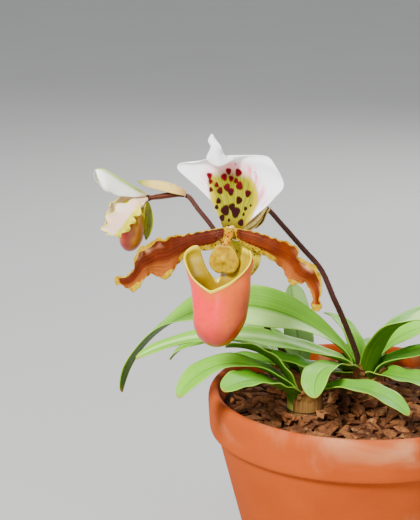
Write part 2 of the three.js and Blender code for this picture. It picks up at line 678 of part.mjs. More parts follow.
function shieldGeometry(scale) {
  const round = shieldOutline.length;
  const rings = 3;
  const points = [];
  [1, -1].forEach((side) => {
    for (let i = 0; i <= rings; i += 1) {
      const count = i === 0 ? 1 : round;
      for (let j = 0; j < count; j += 1) {
        const angle = 2 * Math.PI * j / round;
        const r = i / rings;
        const out = r * shieldOutline[j];
        const dome = 0.9 * (1 - r * r) + 0.7 * Math.exp(-((r / 0.22) ** 2));
        const lift = side > 0 ? 0.45 + dome : -0.45 + 0.5 * (1 - r * r);
        const offset = [
          shieldHalfWidth * out * Math.cos(angle),
          shieldHalfHeight * out * Math.sin(angle),
          lift,
        ];
        points.push(placed(plus(shieldMiddle, offset)).map((value) => value * scale));
      }
    }
  });
  const perSide = 1 + rings * round;
  const vertex = (side, i, j) => side * perSide + (i === 0 ? 0 : 1 + (i - 1) * round + j % round);
  const triangles = [];
  for (let j = 0; j < round; j += 1) {
    for (let side = 0; side < 2; side += 1) {
      const fan = [vertex(side, 0, 0), vertex(side, 1, j), vertex(side, 1, j + 1)];
      triangles.push(side ? fan.toReversed() : fan);
      for (let i = 1; i < rings; i += 1) {
        const [a, b] = [vertex(side, i, j), vertex(side, i + 1, j)];
        const [c, d] = [vertex(side, i + 1, j + 1), vertex(side, i, j + 1)];
        triangles.push(...(side ? [[a, c, b], [a, d, c]] : [[a, b, c], [a, c, d]]));
      }
    }
    const [a, b] = [vertex(0, rings, j), vertex(0, rings, j + 1)];
    const [c, d] = [vertex(1, rings, j + 1), vertex(1, rings, j)];
    triangles.push([a, c, b], [a, d, c]);
  }
  return facingOut(points, triangles);
}

function columnGeometry(scale) {
  const route = [[0, -0.4, 0.1], [0, -0.4, 1.2], [0, -1.8, 3.8], [-0.1, -5, 6.4], [-0.3, -8.6, 8.3]];
  const stalk = tubeGeometry(
    route.map((point) => placed(point).map((value) => value * scale)),
    (t) => (2.3 - 0.3 * t) * scale,
    8,
    5,
  );
  return fromSolid(joined([stalk, shieldGeometry(scale)]));
}

// The ovary: a ribbed stalk that widens to the receptacle where the flower's parts meet
function ovaryGeometry(route, girth, receptacle) {
  return tubeGeometry(
    route.map(placed),
    (t, angle) => {
      const swell = girth * (0.72 + 0.28 * Math.sin(Math.PI * Math.min(1, t * 1.05)));
      const seat = (receptacle - swell) * smooth((t - 0.86) / 0.14);
      return (swell + seat) * (1 + 0.06 * Math.cos(6 * angle));
    },
    12,
    8,
  );
}
const ovaryOneRoute = [
  [6.5, 5.9, -29.1], [6.3, 4.7, -23], [5, 1.8, -14], [2.4, 0.2, -6.5], [0.4, 0, -2.4], [0, 0, -0.3],
];
const ovaryTwoRoute = [[9.2, 1.5, -16.8], [7, 1.8, -13], [3, 0.8, -6], [0.3, 0, -1.6], [0, 0, -0.3]];

// Small sheaths at the tops of the scapes, edge, keel and other edge, in the flower's own frame
const bractOne = [
  [[4.8, 6.4, -32], [7.1, 3.3, -32], [9.3, 6.6, -32]],
  [[3.1, 6.4, -28], [6.6, 2.3, -28], [9.8, 6.6, -28]],
  [[2.9, 5.6, -24], [6.5, 1, -24], [9.9, 5.8, -24]],
  [[3.4, 1.4, -20.5], [6.3, -0.3, -20.5], [9.2, 1.6, -20.5]],
  [[5.8, -1, -17.6], [6.3, -1.1, -17.6], [6.8, -1, -17.6]],
];
const bractTwo = [
  [[11.2, 1.4, -16.4], [9.5, 3.5, -17.3], [7.8, 1.4, -18.2]],
  [[10.1, 2.6, -11.5], [7.5, 6.3, -13], [4.9, 2.6, -14.5]],
  [[6.4, 4.2, -5.6], [4, 8.4, -7], [1.6, 4.2, -8.4]],
  [[1.6, 6.2, 0.9], [0, 9, 0], [-1.6, 6.2, -0.9]],
  [[-1.9, 8.2, 4.2], [-2.3, 8.7, 4], [-2.7, 8.2, 3.8]],
];

const colours = {
  terracotta: 0xb5623c,
  bark: 0x6b4630,
  root: 0xb89a6a,
  leaf: 0x8fbf66,
  scape: 0x4a2a2e,
  ovary: 0xd8c29a,
  dorsal: 0xf6eef0,
  petal: 0xb0652f,
  pouch: 0xd9705f,
  shield: 0xf0c526,
  synsepal: 0xd9dd86,
};

const finishes = Object.fromEntries(Object.entries(colours).map(([name, colour]) => [
  name,
  new THREE.MeshStandardMaterial({
    name,
    color: colour,
    roughness: name === 'terracotta' || name === 'bark' ? 0.9 : 0.5,
    metalness: 0,
  }),
]));

function piece(name, geometry, finish) {
  geometry.computeVertexNormals();
  const mesh = new THREE.Mesh(geometry, finishes[finish]);
  mesh.name = name;
  return mesh;
}

function flower(place, turn) {
  const group = new THREE.Group();
  group.position.set(...place);
  group.rotation.z = -radians(turn);
  return group;
}

const orchid = new THREE.Group();
orchid.add(piece('pot', potGeometry(), 'terracotta'));
orchid.add(piece('potting_mix', mixGeometry(), 'bark'));
orchid.add(piece('rootstock', fromSolid(rootstockSolid(0)), 'root'));
leaves.forEach((leaf) => orchid.add(piece(`leaf_${leaf.name}`, leafGeometry(leaf), 'leaf')));
orchid.add(piece('scape_1', scapeGeometry(scapeOneRoute, scapeFoot, scapeTip), 'scape'));
orchid.add(piece('scape_2', scapeGeometry(scapeTwoRoute, scapeFoot, scapeTip), 'scape'));

const openFlower = flower(flowerOnePlace, flowerOneTurn);
openFlower.add(piece('ovary_1', ovaryGeometry(ovaryOneRoute, ovaryOneGirth, receptacleRadius), 'ovary'));
openFlower.add(piece('bract_1', sepalGeometry(bractOne, 6, 4, petalThickness), 'ovary'));
openFlower.add(piece('dorsal_sepal_1', sepalGeometry(dorsalOne, 20, 10, petalThickness), 'dorsal'));
openFlower.add(piece('petal_1_left', sepalGeometry(petalLeft, 26, 6, petalThickness), 'petal'));
openFlower.add(piece('petal_1_right', sepalGeometry(petalRight, 26, 6, petalThickness), 'petal'));
openFlower.add(piece('synsepal_1', sepalGeometry(synsepalOne, 8, 6, petalThickness), 'synsepal'));
openFlower.add(piece('pouch_1', pouchGeometry(rimOne, 28, 10, 1), 'pouch'));
openFlower.add(piece('column_1', columnGeometry(1), 'shield'));
orchid.add(openFlower);

const youngFlower = flower(flowerTwoPlace, flowerTwoTurn);
const farPetal = petalTwo.map(
  (edges) => edges.map(([right, up, forward]) => [-right, up, forward * (1 - 0.011 * forward)]),
);
const youngReceptacle = receptacleRadius * flowerTwoScale;
youngFlower.add(piece('ovary_2', ovaryGeometry(ovaryTwoRoute, ovaryTwoGirth, youngReceptacle), 'ovary'));
youngFlower.add(piece('bract_2', sepalGeometry(bractTwo, 6, 4, petalThickness), 'ovary'));
youngFlower.add(piece('dorsal_sepal_2', sepalGeometry(dorsalTwo, 10, 6, petalThickness), 'dorsal'));
youngFlower.add(piece('petal_2_near', sepalGeometry(petalTwo, 14, 4, petalThickness), 'petal'));
youngFlower.add(piece('petal_2_far', sepalGeometry(farPetal, 14, 4, petalThickness), 'petal'));
youngFlower.add(piece('synsepal_2', sepalGeometry(synsepalTwo, 6, 4, petalThickness), 'synsepal'));
youngFlower.add(piece('pouch_2', pouchGeometry(rimTwo, 20, 8, flowerTwoScale), 'pouch'));
youngFlower.add(piece('column_2', columnGeometry(flowerTwoScale), 'shield'));
orchid.add(youngFlower);

export default orchid;
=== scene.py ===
# %% [markdown]
# # A potted slipper orchid
#
# The imported model holds every piece of the plant as a plain faceted solid: the pot, the bark, each
# leaf, each stalk and each part of the two flowers. This lesson dresses it. Every solid is replaced
# by a finer mesh of the same form, made from the same few measurements, and each surface gets a
# finish made of nodes alone. All sizes below are in millimetres, and a mesh is turned into
# metres at the moment it is made.

# %% Load the frame
import math
import random

import bmesh
import bpy
import numpy as np
from mathutils import Matrix, Vector


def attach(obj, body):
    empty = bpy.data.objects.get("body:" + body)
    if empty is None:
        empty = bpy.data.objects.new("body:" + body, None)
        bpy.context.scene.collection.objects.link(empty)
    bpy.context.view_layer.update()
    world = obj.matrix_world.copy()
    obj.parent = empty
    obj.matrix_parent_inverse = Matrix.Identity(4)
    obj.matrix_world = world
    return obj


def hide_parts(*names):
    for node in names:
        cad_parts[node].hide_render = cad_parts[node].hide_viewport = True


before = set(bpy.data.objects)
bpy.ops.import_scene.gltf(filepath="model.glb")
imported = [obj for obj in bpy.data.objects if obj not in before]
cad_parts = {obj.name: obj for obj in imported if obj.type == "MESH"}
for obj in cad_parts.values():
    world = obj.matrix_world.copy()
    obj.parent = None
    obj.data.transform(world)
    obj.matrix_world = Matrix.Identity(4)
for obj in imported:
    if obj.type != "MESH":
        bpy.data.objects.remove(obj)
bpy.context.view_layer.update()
MM = 0.001
print("frame loaded with", len(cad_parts), "nodes")

# %% [markdown]
# ## The camera first
#
# The photo was taken from a little above, about 14 degrees, and from less than a metre away, with a
# long lens. Setting the camera before anything else means that each piece can be judged in place.

# %% The camera
camera_place = (-0.074, -0.6458, 0.3385)
camera_dip = 14
camera_lens = 94.15

camera_data = bpy.data.cameras.new("camera")
camera_data.lens = camera_lens
camera_data.sensor_width = 36
camera_data.dof.use_dof = False
camera = bpy.data.objects.new("camera", camera_data)
camera.location = camera_place
camera.rotation_euler = (math.radians(90 - camera_dip), 0, 0)
bpy.context.scene.collection.objects.link(camera)
bpy.context.scene.camera = camera
print("camera lens", camera_lens, "mm")

# %% [markdown]
# ## A few tools of shape
#
# Leaves, sepals and petals are all the same kind of thing: a thin sheet that is easy to describe as
# a grid of points along and across it. So one helper turns such a grid into a closed sheet, and the
# botany stays in the functions that make the grids. `through` draws a smooth curve through a few
# rows of measurements, which is how a petal is measured on a real flower: station by station.


# %% Curves
def ease(x):
    """Rises smoothly from 0 to 1 while x does."""
    x = np.clip(x, 0, 1)
    return x * x * (3 - 2 * x)


def bell(x, middle, width):
    """1 at the middle, and falling smoothly to 0 on both sides of it."""
    return np.exp(-(((x - middle) / width) ** 2))


def through(rows, t):
    """A smooth curve through rows of numbers; t runs from 0 to 1 over all the rows."""
    rows = np.asarray(rows, float)
    last = len(rows) - 1
    place = np.clip(np.atleast_1d(t), 0, 1) * last
    index = np.minimum(place.astype(int), last - 1)
    f = (place - index)[:, None]
    a, b, c, d = (rows[np.clip(index + step, 0, last)] for step in (-1, 0, 1, 2))
    return b + 0.5 * f * (c - a + f * (2 * a - 5 * b + 4 * c - d + f * (3 * (b - c) + d - a)))


def unit(v):
    """The same direction, one long, for one vector or a grid of them."""
    v = np.asarray(v, float)
    return v / np.maximum(np.linalg.norm(v, axis=-1, keepdims=True), 1e-9)


print("curve helpers ready")


# %% [markdown]
# A mesh here is made from numpy arrays, because a fine petal has thousands of points. Each mesh
# also carries marks: named numbers at each point, such as how far along the leaf it is. The
# finishes read them back, so a vein or a spot stays on its petal from every side.


# %% From arrays to a Blender object
def mesh_piece(name, points, faces, marks, material):
    """An object from points in millimetres, faces of 3 or 4 corners, and marks at the points."""
    mesh = bpy.data.meshes.new(name)
    mesh.from_pydata((np.asarray(points) * MM).tolist(), [], [list(face) for face in faces])
    for mark, values in marks.items():
        attribute = mesh.attributes.new(mark, "FLOAT", "POINT")
        attribute.data.foreach_set("value", np.asarray(values, np.float32).ravel())
    if material:
        mesh.materials.append(material)
    mesh.polygons.foreach_set("use_smooth", [True] * len(mesh.polygons))
    mesh.update()
    piece = bpy.data.objects.new(name, mesh)
    bpy.context.scene.collection.objects.link(piece)
    return piece


def on_plant(piece, slot, *nodes):
    """The piece stands for these nodes and belongs to the plant's one body; slot is not used."""
    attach(piece, "root")
    if nodes:
        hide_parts(*nodes)
    print(piece.name, len(piece.data.polygons), "faces")


print("mesh helpers ready")


# %% [markdown]
# A leaf or a petal has two skins and an edge. A Solidify modifier could thicken a plain grid.
# Laying the two skins here instead lets the thickness change smoothly from the midrib to the
# margin, and gives both skins the marks of the grid. A strip of faces closes the edge all round.


# %% A closed sheet from a grid of points
def sheet_piece(name, slot, nodes, sheet, thickness, marks, material):
    """A closed sheet whose two skins lie half the thickness from its middle.

    sheet is a grid of points with their places along it and across it, which become marks too.
    """
    middle, along, across = sheet
    marks = {"along": along, "across": across, **marks}
    rows, columns = middle.shape[:2]
    normal = unit(np.cross(np.gradient(middle, axis=0), np.gradient(middle, axis=1)))
    half = normal * (np.broadcast_to(thickness, (rows, columns)) / 2)[..., None]
    points = np.concatenate([(middle + half).reshape(-1, 3), (middle - half).reshape(-1, 3)])
    index = np.arange(rows * columns).reshape(rows, columns)
    corners = (index[:-1, :-1], index[1:, :-1], index[1:, 1:], index[:-1, 1:])
    upper = np.stack(corners, -1).reshape(-1, 4)
    lower = upper[:, ::-1] + rows * columns
    rim = np.concatenate([index[0, :], index[1:, -1], index[-1, -2::-1], index[-2:0:-1, 0]])
    after = np.roll(rim, -1)
    edge = np.stack([rim, after, after + rows * columns, rim + rows * columns], -1)
    both = {mark: np.concatenate([grid.ravel(), grid.ravel()]) for mark, grid in marks.items()}
    both["face"] = np.repeat([1.0, 0.0], rows * columns)
    piece = mesh_piece(name, points, np.concatenate([upper, lower, edge]), both, material)
    on_plant(piece, slot, *nodes)


def flipped(sheet):
    """The same sheet with its columns in the other order, so that its upper skin faces the other way."""
    return tuple(values[:, ::-1] for values in sheet)


print("sheet helpers ready")


# %% [markdown]
# Stalks, ovaries and roots are round, and they bend. A curve with a bevel could draw them, but a
# mesh of rings can also swell, be ribbed and carry marks. Each ring stands square to the route and
# takes its direction across from the ring before it, so that the tube doesn't twist.


# %% A round tube along a route
def tube_rings(route, radius_at, around, steps):
    """Rings of points round a smooth curve, with their place along it and round it."""
    fine = through(route, np.linspace(0, 1, 12 * steps + 1))
    travelled = np.concatenate([[0], np.cumsum(np.linalg.norm(np.diff(fine, axis=0), axis=1))])
    t = np.linspace(0, 1, steps + 1)
    centre = np.stack([np.interp(t * travelled[-1], travelled, fine[:, k]) for k in range(3)], -1)
    heading = unit(np.gradient(centre, axis=0))
    across = unit(np.cross(heading[0], [0.3, 1, 0.2]))
    angle = np.linspace(0, 2 * math.pi, around, endpoint=False)
    rings = []
    for i in range(steps + 1):
        across = unit(across - heading[i] * across.dot(heading[i]))
        beside = np.cross(heading[i], across)
        spoke = np.cos(angle)[:, None] * across + np.sin(angle)[:, None] * beside
        rings.append(centre[i] + spoke * radius_at(t[i], angle)[:, None])
    return np.array(rings), np.broadcast_to(t[:, None], (steps + 1, around)), angle


def ring_faces(rings, around, start=0, closed_ends=True):
    """Quads between rings of points, and a fan of triangles over each end."""
    index = start + np.arange(rings * around).reshape(rings, around)
    after = np.roll(index, -1, axis=1)
    quads = np.stack([index[:-1], after[:-1], after[1:], index[1:]], -1).reshape(-1, 4).tolist()
    if closed_ends:
        quads.append(index[0, ::-1].tolist())
        quads.append(index[-1].tolist())
    return quads


def fan_faces(start, around, tip, turned):
    """Triangles from a ring of points, the first of them at start, to the point in its middle."""
    ring = start + np.arange(around)
    sides = [ring, np.roll(ring, -1)]
    if turned:
        sides.reverse()
    return np.stack([np.full(around, tip), *sides], -1).tolist()


def tube_piece(name, slot, node, route, radius_at, around, steps, marks, material):
    """A closed tube with a mark along it and any that the caller adds; gives back its rings."""
    rings, along, angle = tube_rings(route, radius_at, around, steps)
    told = {"along": along.ravel()}
    for mark, of_angle in marks.items():
        told[mark] = np.broadcast_to(of_angle(angle), along.shape).ravel()
    tube = mesh_piece(name, rings.reshape(-1, 3), ring_faces(len(rings), around), told, material)
    on_plant(tube, slot, node)
    return rings


def turned_rings(profile, around):
    """A profile of radius and height, turned round the Z axis."""
    angle = np.linspace(0, 2 * math.pi, around, endpoint=False)
    return np.array([
        np.stack([r * np.cos(angle), r * np.sin(angle), np.full(around, z)], -1) for r, z in profile
    ])


print("tube and lathe helpers ready")

# %% [markdown]
# ## Tools for finishes
#
# A finish is a small graph of nodes. Writing each node and link by hand is long, so this class
# keeps the graph readable: it works like paint. `start` puts down a first coat of two mixed
# colours, and each `over` lays some of another colour on top, where a noise or a mark of the mesh
# says so. Values that are the same all over the surface are set on the shader's own sockets.


# %% A readable way to build a node graph
def tint(red, green, blue):
    """A screen colour, 0 to 255, as the linear colour that the shader wants."""
    screen = np.array([red, green, blue]) / 255
    linear = np.where(screen <= 0.04045, screen / 12.92, ((screen + 0.055) / 1.055) ** 2.4)
    return (*linear.tolist(), 1.0)


class Finish:
    """A material and the few kinds of node that this plant needs."""

    def __init__(self, name, roughness, specular=0.5, soft=0.0, soft_reach=(1, 0.5, 0.25)):
        """soft is how much light spreads under the skin, and soft_reach how far, red, green, blue."""
        self.material = bpy.data.materials.new(name)
        self.material.use_nodes = True
        self.tree = self.material.node_tree
        self.shader = self.tree.nodes["Principled BSDF"]
        self.set("Roughness", roughness)
        self.set("Specular IOR Level", specular)
        self.set("Subsurface Weight", soft)
        self.set("Subsurface Radius", soft_reach)
        self.set("Subsurface Scale", 1.2 * MM)
        self.place = self.tree.nodes.new("ShaderNodeTexCoord").outputs["Object"]

    def set(self, socket, value):
        """A value that is the same all over the surface."""
        self.shader.inputs[socket].default_value = value

    def wire(self, socket, value):
        """Links a socket or sets its value; three numbers are a screen colour."""
        if isinstance(value, bpy.types.NodeSocket):
            self.tree.links.new(value, socket)
        elif isinstance(value, tuple) and len(value) == 3:
            socket.default_value = tint(*value)
        else:
            socket.default_value = value

    def mark(self, name):
        """A number that the mesh carries at its points."""
        node = self.tree.nodes.new("ShaderNodeAttribute")
        node.attribute_name = name
        return node.outputs["Fac"]

    def plus(self, value, other, share):
        """A value and a share of another one."""
        return self.math("ADD", value, self.times(other, share))

    def times(self, first, second):
        """High only where both are high."""
        return self.math("MULTIPLY", first, second)

    def math(self, operation, first, second=0.0):
        """One sum on numbers."""
        node = self.tree.nodes.new("ShaderNodeMath")
        node.operation = operation
        self.wire(node.inputs[0], first)
        self.wire(node.inputs[1], second)
        return node.outputs[0]

    def band(self, value, low, high, most=1.0):
        """0 below low, most above high, and smooth between them; low may be above high."""
        node = self.tree.nodes.new("ShaderNodeMapRange")
        node.interpolation_type = "SMOOTHSTEP"
        ends = (most, 0.0) if low > high else (0.0, most)
        self.wire(node.inputs["Value"], value)
        node.inputs["From Min"].default_value = min(low, high)
        node.inputs["From Max"].default_value = max(low, high)
        node.inputs["To Min"].default_value, node.inputs["To Max"].default_value = ends
        return node.outputs["Result"]

    def mix(self, amount, first, second):
        """The first colour, with some of the second over it."""
        node = self.tree.nodes.new("ShaderNodeMix")
        node.data_type = "RGBA"
        self.wire(node.inputs["Factor"], amount)
        self.wire(node.inputs[6], first)
        self.wire(node.inputs[7], second)
        return node.outputs[2]

    def start(self, amount, first, second):
        """The first coat: two colours mixed."""
        self.colour = self.mix(amount, first, second)

    def over(self, amount, colour):
        """Lays some of another colour over what is there so far."""
        self.colour = self.mix(amount, self.colour, colour)

    def veins(self, across, along, third=0.0, detail=3):
        """Noise in lines that run along a sheet; third moves on to other lines."""
        node = self.tree.nodes.new("ShaderNodeCombineXYZ")
        self.wire(node.inputs[0], self.times(self.mark("across"), across))
        self.wire(node.inputs[1], self.times(self.mark("along"), along))
        self.wire(node.inputs[2], third)
        return self.noise(1.0, detail, node.outputs[0])

    def noise(self, scale, detail=3.0, place=None, distortion=0.0):
        """Soft noise from 0 to 1, in object space unless a place is given."""
        node = self.tree.nodes.new("ShaderNodeTexNoise")
        node.inputs["Scale"].default_value = scale
        node.inputs["Detail"].default_value = detail
        node.inputs["Distortion"].default_value = distortion
        self.wire(node.inputs["Vector"], self.place if place is None else place)
        return node.outputs["Fac"]

    def cells(self, scale):
        """Distance to the nearest of many scattered points."""
        node = self.tree.nodes.new("ShaderNodeTexVoronoi")
        node.inputs["Scale"].default_value = scale
        self.wire(node.inputs["Vector"], self.place)
        return node.outputs["Distance"]

    def bump(self, height, depth_mm, strength=1.0, under=None):
        """A bumpy normal, its depth in millimetres, over another one if there is one under it."""
        node = self.tree.nodes.new("ShaderNodeBump")
        node.inputs["Distance"].default_value = depth_mm * MM
        node.inputs["Strength"].default_value = strength
        self.wire(node.inputs["Height"], height)
        if under is not None:
            self.tree.links.new(under, node.inputs["Normal"])
        return node.outputs["Normal"]

    def wear(self, normal=None):
        """Puts the finished colour and normal on the shader."""
        self.wire(self.shader.inputs["Base Color"], self.colour)
        if normal is not None:
            self.wire(self.shader.inputs["Normal"], normal)
        return self.material


print("finish tools ready")

# %% [markdown]
# ## The finish of the pot
#
# Terracotta is fired clay: warm orange, never quite even, with a chalky bloom of salts where water
# has dried out, and tiny pits. Soft noises of different sizes do that, and a fine bump gives the
# dry, matt touch.


# %% Terracotta
def terracotta_finish():
    f = Finish("terracotta", 0.82, specular=0.15)
    f.start(f.noise(28, 4), (150, 56, 8), (178, 78, 18))
    f.over(f.band(f.noise(9, 3), 0.55, 0.8), (112, 42, 8))
    f.over(f.band(f.noise(16, 5, distortion=1.2), 0.56, 0.75, 0.4), (214, 168, 122))
    f.over(f.band(f.cells(900), 0.16, 0.06, 0.35), (84, 34, 14))
    grain = f.bump(f.noise(1400, 2), 0.12)
    return f.wear(f.bump(f.noise(60, 2), 0.4, 0.5, under=grain))


terracotta = terracotta_finish()
print("terracotta ready")

# %% [markdown]
# ## The finish of the bark, the roots and dead sheaths
#
# Orchids grow in chips of fir bark, reddish brown outside and paler where they broke. Each chip
# carries one random number, so no two have quite the same tone.


# %% Bark, roots and papery sheaths
def bark_finish():
    f = Finish("bark", 0.9, specular=0.2)
    layered = f.noise(700, 4, distortion=0.8)
    f.start(f.mark("chip"), (74, 38, 18), (148, 92, 50))
    f.over(f.band(layered, 0.4, 0.7, 0.55), (44, 22, 12))
    f.over(f.band(f.noise(180, 3), 0.58, 0.72, 0.5), (186, 138, 86))
    return f.wear(f.bump(layered, 0.6))


def root_finish():
    f = Finish("rootstock", 0.75, specular=0.3)
    f.start(f.noise(300, 4), (70, 50, 14), (118, 88, 34))
    f.over(f.band(f.noise(90, 3), 0.5, 0.66), (40, 22, 8))
    return f.wear(f.bump(f.noise(900, 3), 0.3))


def dry_sheath_finish():
    f = Finish("dry_sheath", 0.7, specular=0.3)
    streak = f.veins(30.0, 1.0, f.mark("tone"))
    f.start(f.band(streak, 0.35, 0.65), (134, 96, 40), (84, 50, 16))
    f.over(f.band(f.mark("along"), 0.5, 1.0), (104, 58, 20))
    return f.wear(f.bump(streak, 0.25))


bark = bark_finish()
rootstock_skin = root_finish()
dry_sheath = dry_sheath_finish()
print("bark, root and dry sheath ready")

# %% [markdown]
# ## The finish of the leaves
#
# A leaf of this orchid is satin and pale green above, with fine veins that run its whole length and
# a crease over the midrib, and a deeper olive below, which is painted darker still as the shade that
# lies under the blades. A dark line along the crease is painted shade, and the mark `pale` lays a
# painted sheen and paler patches on a few blades. The marks `along` and `across` let the veins
# follow each blade however it bends, and `face` tells the upper skin from the lower one.


# %% Leaf
def leaf_finish():
    f = Finish("leaf", 0.46, specular=0.22, soft=0.05, soft_reach=(0.4, 1.0, 0.2))
    along = f.mark("along")
    from_rib = f.math("ABSOLUTE", f.mark("across"))
    veins = f.veins(22.0, 1.5, f.mark("tone"))
    broad = f.noise(38, 3)
    # The lower skin: a deeper olive, painted darker still as the shade that lies under the blades.
    f.start(f.band(veins, 0.4, 0.7), (66, 104, 2), (38, 78, 0))
    f.over(f.band(broad, 0.5, 0.8, 0.35), (96, 128, 8))
    under = f.colour
    f.start(f.mark("tone"), (84, 150, 16), (126, 192, 44))
    f.over(f.band(veins, 0.42, 0.68, 0.4), (70, 128, 8))
    f.over(f.band(broad, 0.45, 0.75, 0.35), (166, 222, 96))
    # Painted sheen and paler patches, where the mark pale says.
    f.over(f.mark("pale"), (200, 236, 150))
    # Painted shade: a dark line along the crease over the midrib.
    f.over(f.band(from_rib, 0.1, 0.0, 0.6), (52, 104, 4))
    f.start(f.band(f.mark("face"), 0.45, 0.55), under, f.colour)
    f.over(f.band(from_rib, 0.9, 1.0, 0.5), (168, 206, 70))
    f.over(f.band(along, 0.1, 0.02, 0.75), (190, 190, 84))
    f.over(f.band(along, 0.965, 1.0, 0.6), (150, 120, 40))
    return f.wear(f.bump(veins, 0.12, 0.8))


leaf_skin = leaf_finish()
print("leaf finish ready")

# %% [markdown]
# ## The finishes of stalks, ovaries and bracts
#
# The flower stalks are maroon with a bloom of fine hair, greener at the foot. The ovary behind each
# flower is ribbed and speckled, and the bract that clasps it is papery, with fine dark lines.


# %% Stalk, ovary, bract and hair
def stalk_finish():
    f = Finish("stalk", 0.6, specular=0.16)
    f.start(f.noise(420, 3), (44, 18, 12), (74, 38, 32))
    f.over(f.band(f.mark("along"), 0.3, 0.0), (46, 34, 6))
    f.over(f.band(f.mark("along"), 0.75, 1.0, 0.5), (92, 54, 46))
    return f.wear(f.bump(f.noise(1800, 2), 0.1))


def ovary_finish(name, pale, paler, brown_tone, speck):
    f = Finish(name, 0.6, specular=0.14)
    f.start(f.noise(500, 3), pale, paler)
    f.over(f.band(f.mark("rib"), 0.3, -0.7, 0.75), brown_tone)
    f.over(f.band(f.cells(1300), 0.36, 0.2, 0.85), speck)
    return f.wear(f.bump(f.noise(1600, 2), 0.12))


def bract_finish(name, flesh, line, foot, tip):
    f = Finish(name, 0.58, specular=0.18, soft=0.06)
    veins = f.veins(18.0, 1.0, 3.0)
    f.start(f.band(veins, 0.38, 0.62, 0.45), flesh, line)
    f.over(f.band(f.noise(700, 4), 0.52, 0.66, 0.6), line)
    f.over(f.band(f.mark("along"), 0.35, 0.0, 0.7), foot)
    f.over(f.band(f.mark("along"), 0.6, 0.95, 0.85), tip)
    return f.wear(f.bump(veins, 0.16))


def hair_finish():
    f = Finish("hair", 0.6, specular=0.15)
    f.start(f.noise(60, 2), (150, 96, 74), (104, 56, 44))
    return f.wear()


stalk_skin = stalk_finish()
ovary_skin = ovary_finish(
    "ovary", (206, 172, 78), (236, 212, 120), (86, 46, 16), (58, 24, 10),
)
young_ovary_skin = ovary_finish(
    "young_ovary", (80, 36, 24), (108, 60, 38), (52, 18, 10), (36, 10, 6),
)
bract_skin = bract_finish(
    "bract", (214, 186, 104), (104, 60, 22), (84, 40, 22), (176, 148, 74),
)
young_bract_skin = bract_finish(
    "young_bract", (222, 196, 104), (190, 142, 82), (150, 92, 60), (96, 128, 6),
)
hair_skin = hair_finish()
print("stalk, ovary, bract and hair finishes ready")

# %% [markdown]
# ## The finishes of the open flower
#
# The dorsal sepal, the flag above the flower, is white with a yellow-green heart, a pink flush
# round it, and big maroon spots. The spots are real places on the sepal, so they are computed on
# the mesh as a mark, and the finish only gives them their colour, darker low down and crimson near
# the top. The petals are red-brown with darker veins and a wavy yellow margin. The pouch is rose on
# one side and orange on the other, golden inside, with a thin pale edge.


# %% Dorsal sepal
def dorsal_finish():
    f = Finish("dorsal_sepal", 0.6, specular=0.06, soft=0.02, soft_reach=(1.0, 0.8, 0.8))
    veins = f.veins(26.0, 1.0)
    f.start(f.band(veins, 0.4, 0.62), (146, 136, 0), (104, 108, 0))
    f.over(f.mark("low"), (86, 64, 0))
    f.over(f.mark("rim_glow"), (190, 164, 0))
    heart = f.colour
    f.start(f.noise(120, 2), (253, 252, 251), (248, 246, 246))
    f.over(f.times(f.mark("flush"), f.band(veins, 0.3, 0.6)), (247, 132, 160))
    f.over(f.mark("rose"), (247, 112, 118))
    f.over(f.mark("heart"), heart)
    spot = f.mix(f.mark("height"), (34, 0, 0), (98, 0, 14))
    f.over(f.times(f.mark("spot"), f.band(f.mark("face"), -0.6, 0.8)), spot)
    return f.wear(f.bump(veins, 0.1))


dorsal_skin = dorsal_finish()
print("dorsal sepal finish ready")


# %% [markdown]
# A petal is red-brown, streaked with darker veins, and its wavy margin is yellow. It could be
# painted, but nodes with other colours also serve the young flower, whose petals are still cream
# and apricot. The veins are noise drawn out along the petal. The margin is a mark, because only
# the mesh knows where its edge runs. Another mark lays a painted highlight: pale patches near the
# upper margin of the open flower's petals, and over most of each young petal.


# %% Petal, for the open flower and for the young one
def petal_finish(name, brown, copper, vein, tan, margin, olive, painted_highlight_colour):
    f = Finish(name, 0.55, specular=0.08, soft=0.02, soft_reach=(1.0, 0.5, 0.2))
    veins = f.veins(20.0, 2.4, detail=4)
    cloud = f.noise(170, 3)
    f.start(f.band(f.plus(f.mark("tone"), cloud, 0.9), 0.25, 1.2), brown, copper)
    f.over(f.band(veins, 0.46, 0.62, 0.8), vein)
    f.over(f.times(f.mark("blush"), f.band(veins, 0.85, 0.45)), tan)
    # Painted highlight: pale patches of a light colour, where the mark glint says.
    f.over(f.times(f.mark("painted_highlight"), f.band(f.noise(110, 2), 0.42, 0.7)), painted_highlight_colour)
    yellow = f.mix(f.band(f.noise(420, 3), 0.42, 0.62), margin, olive)
    f.over(f.band(f.plus(f.mark("margin"), cloud, 0.5), 0.5, 0.9), yellow)
    f.over(f.mark("dots"), (34, 4, 2))
    return f.wear(f.bump(veins, 0.14))


petal_skin = petal_finish(
    "petal", (80, 22, 0), (128, 50, 0), (42, 6, 0), (158, 84, 28),
    (172, 140, 0), (150, 116, 0), (240, 180, 130),
)
young_petal_skin = petal_finish(
    "young_petal", (246, 196, 150), (250, 222, 186), (232, 168, 130), (250, 212, 190),
    (238, 226, 70), (214, 206, 20), (252, 240, 220),
)
print("petal finishes ready")


# %% [markdown]
# The pouch is smooth and waxy, so its finish has a thin coat over a soft skin. Its colour changes
# from side to side and from foot to rim, and its lining is golden. One colour ramp could not do
# that. Marks for the turn round the pouch, the height and the distance to the rim say where each
# colour goes, and two noises keep the borders from looking drawn.


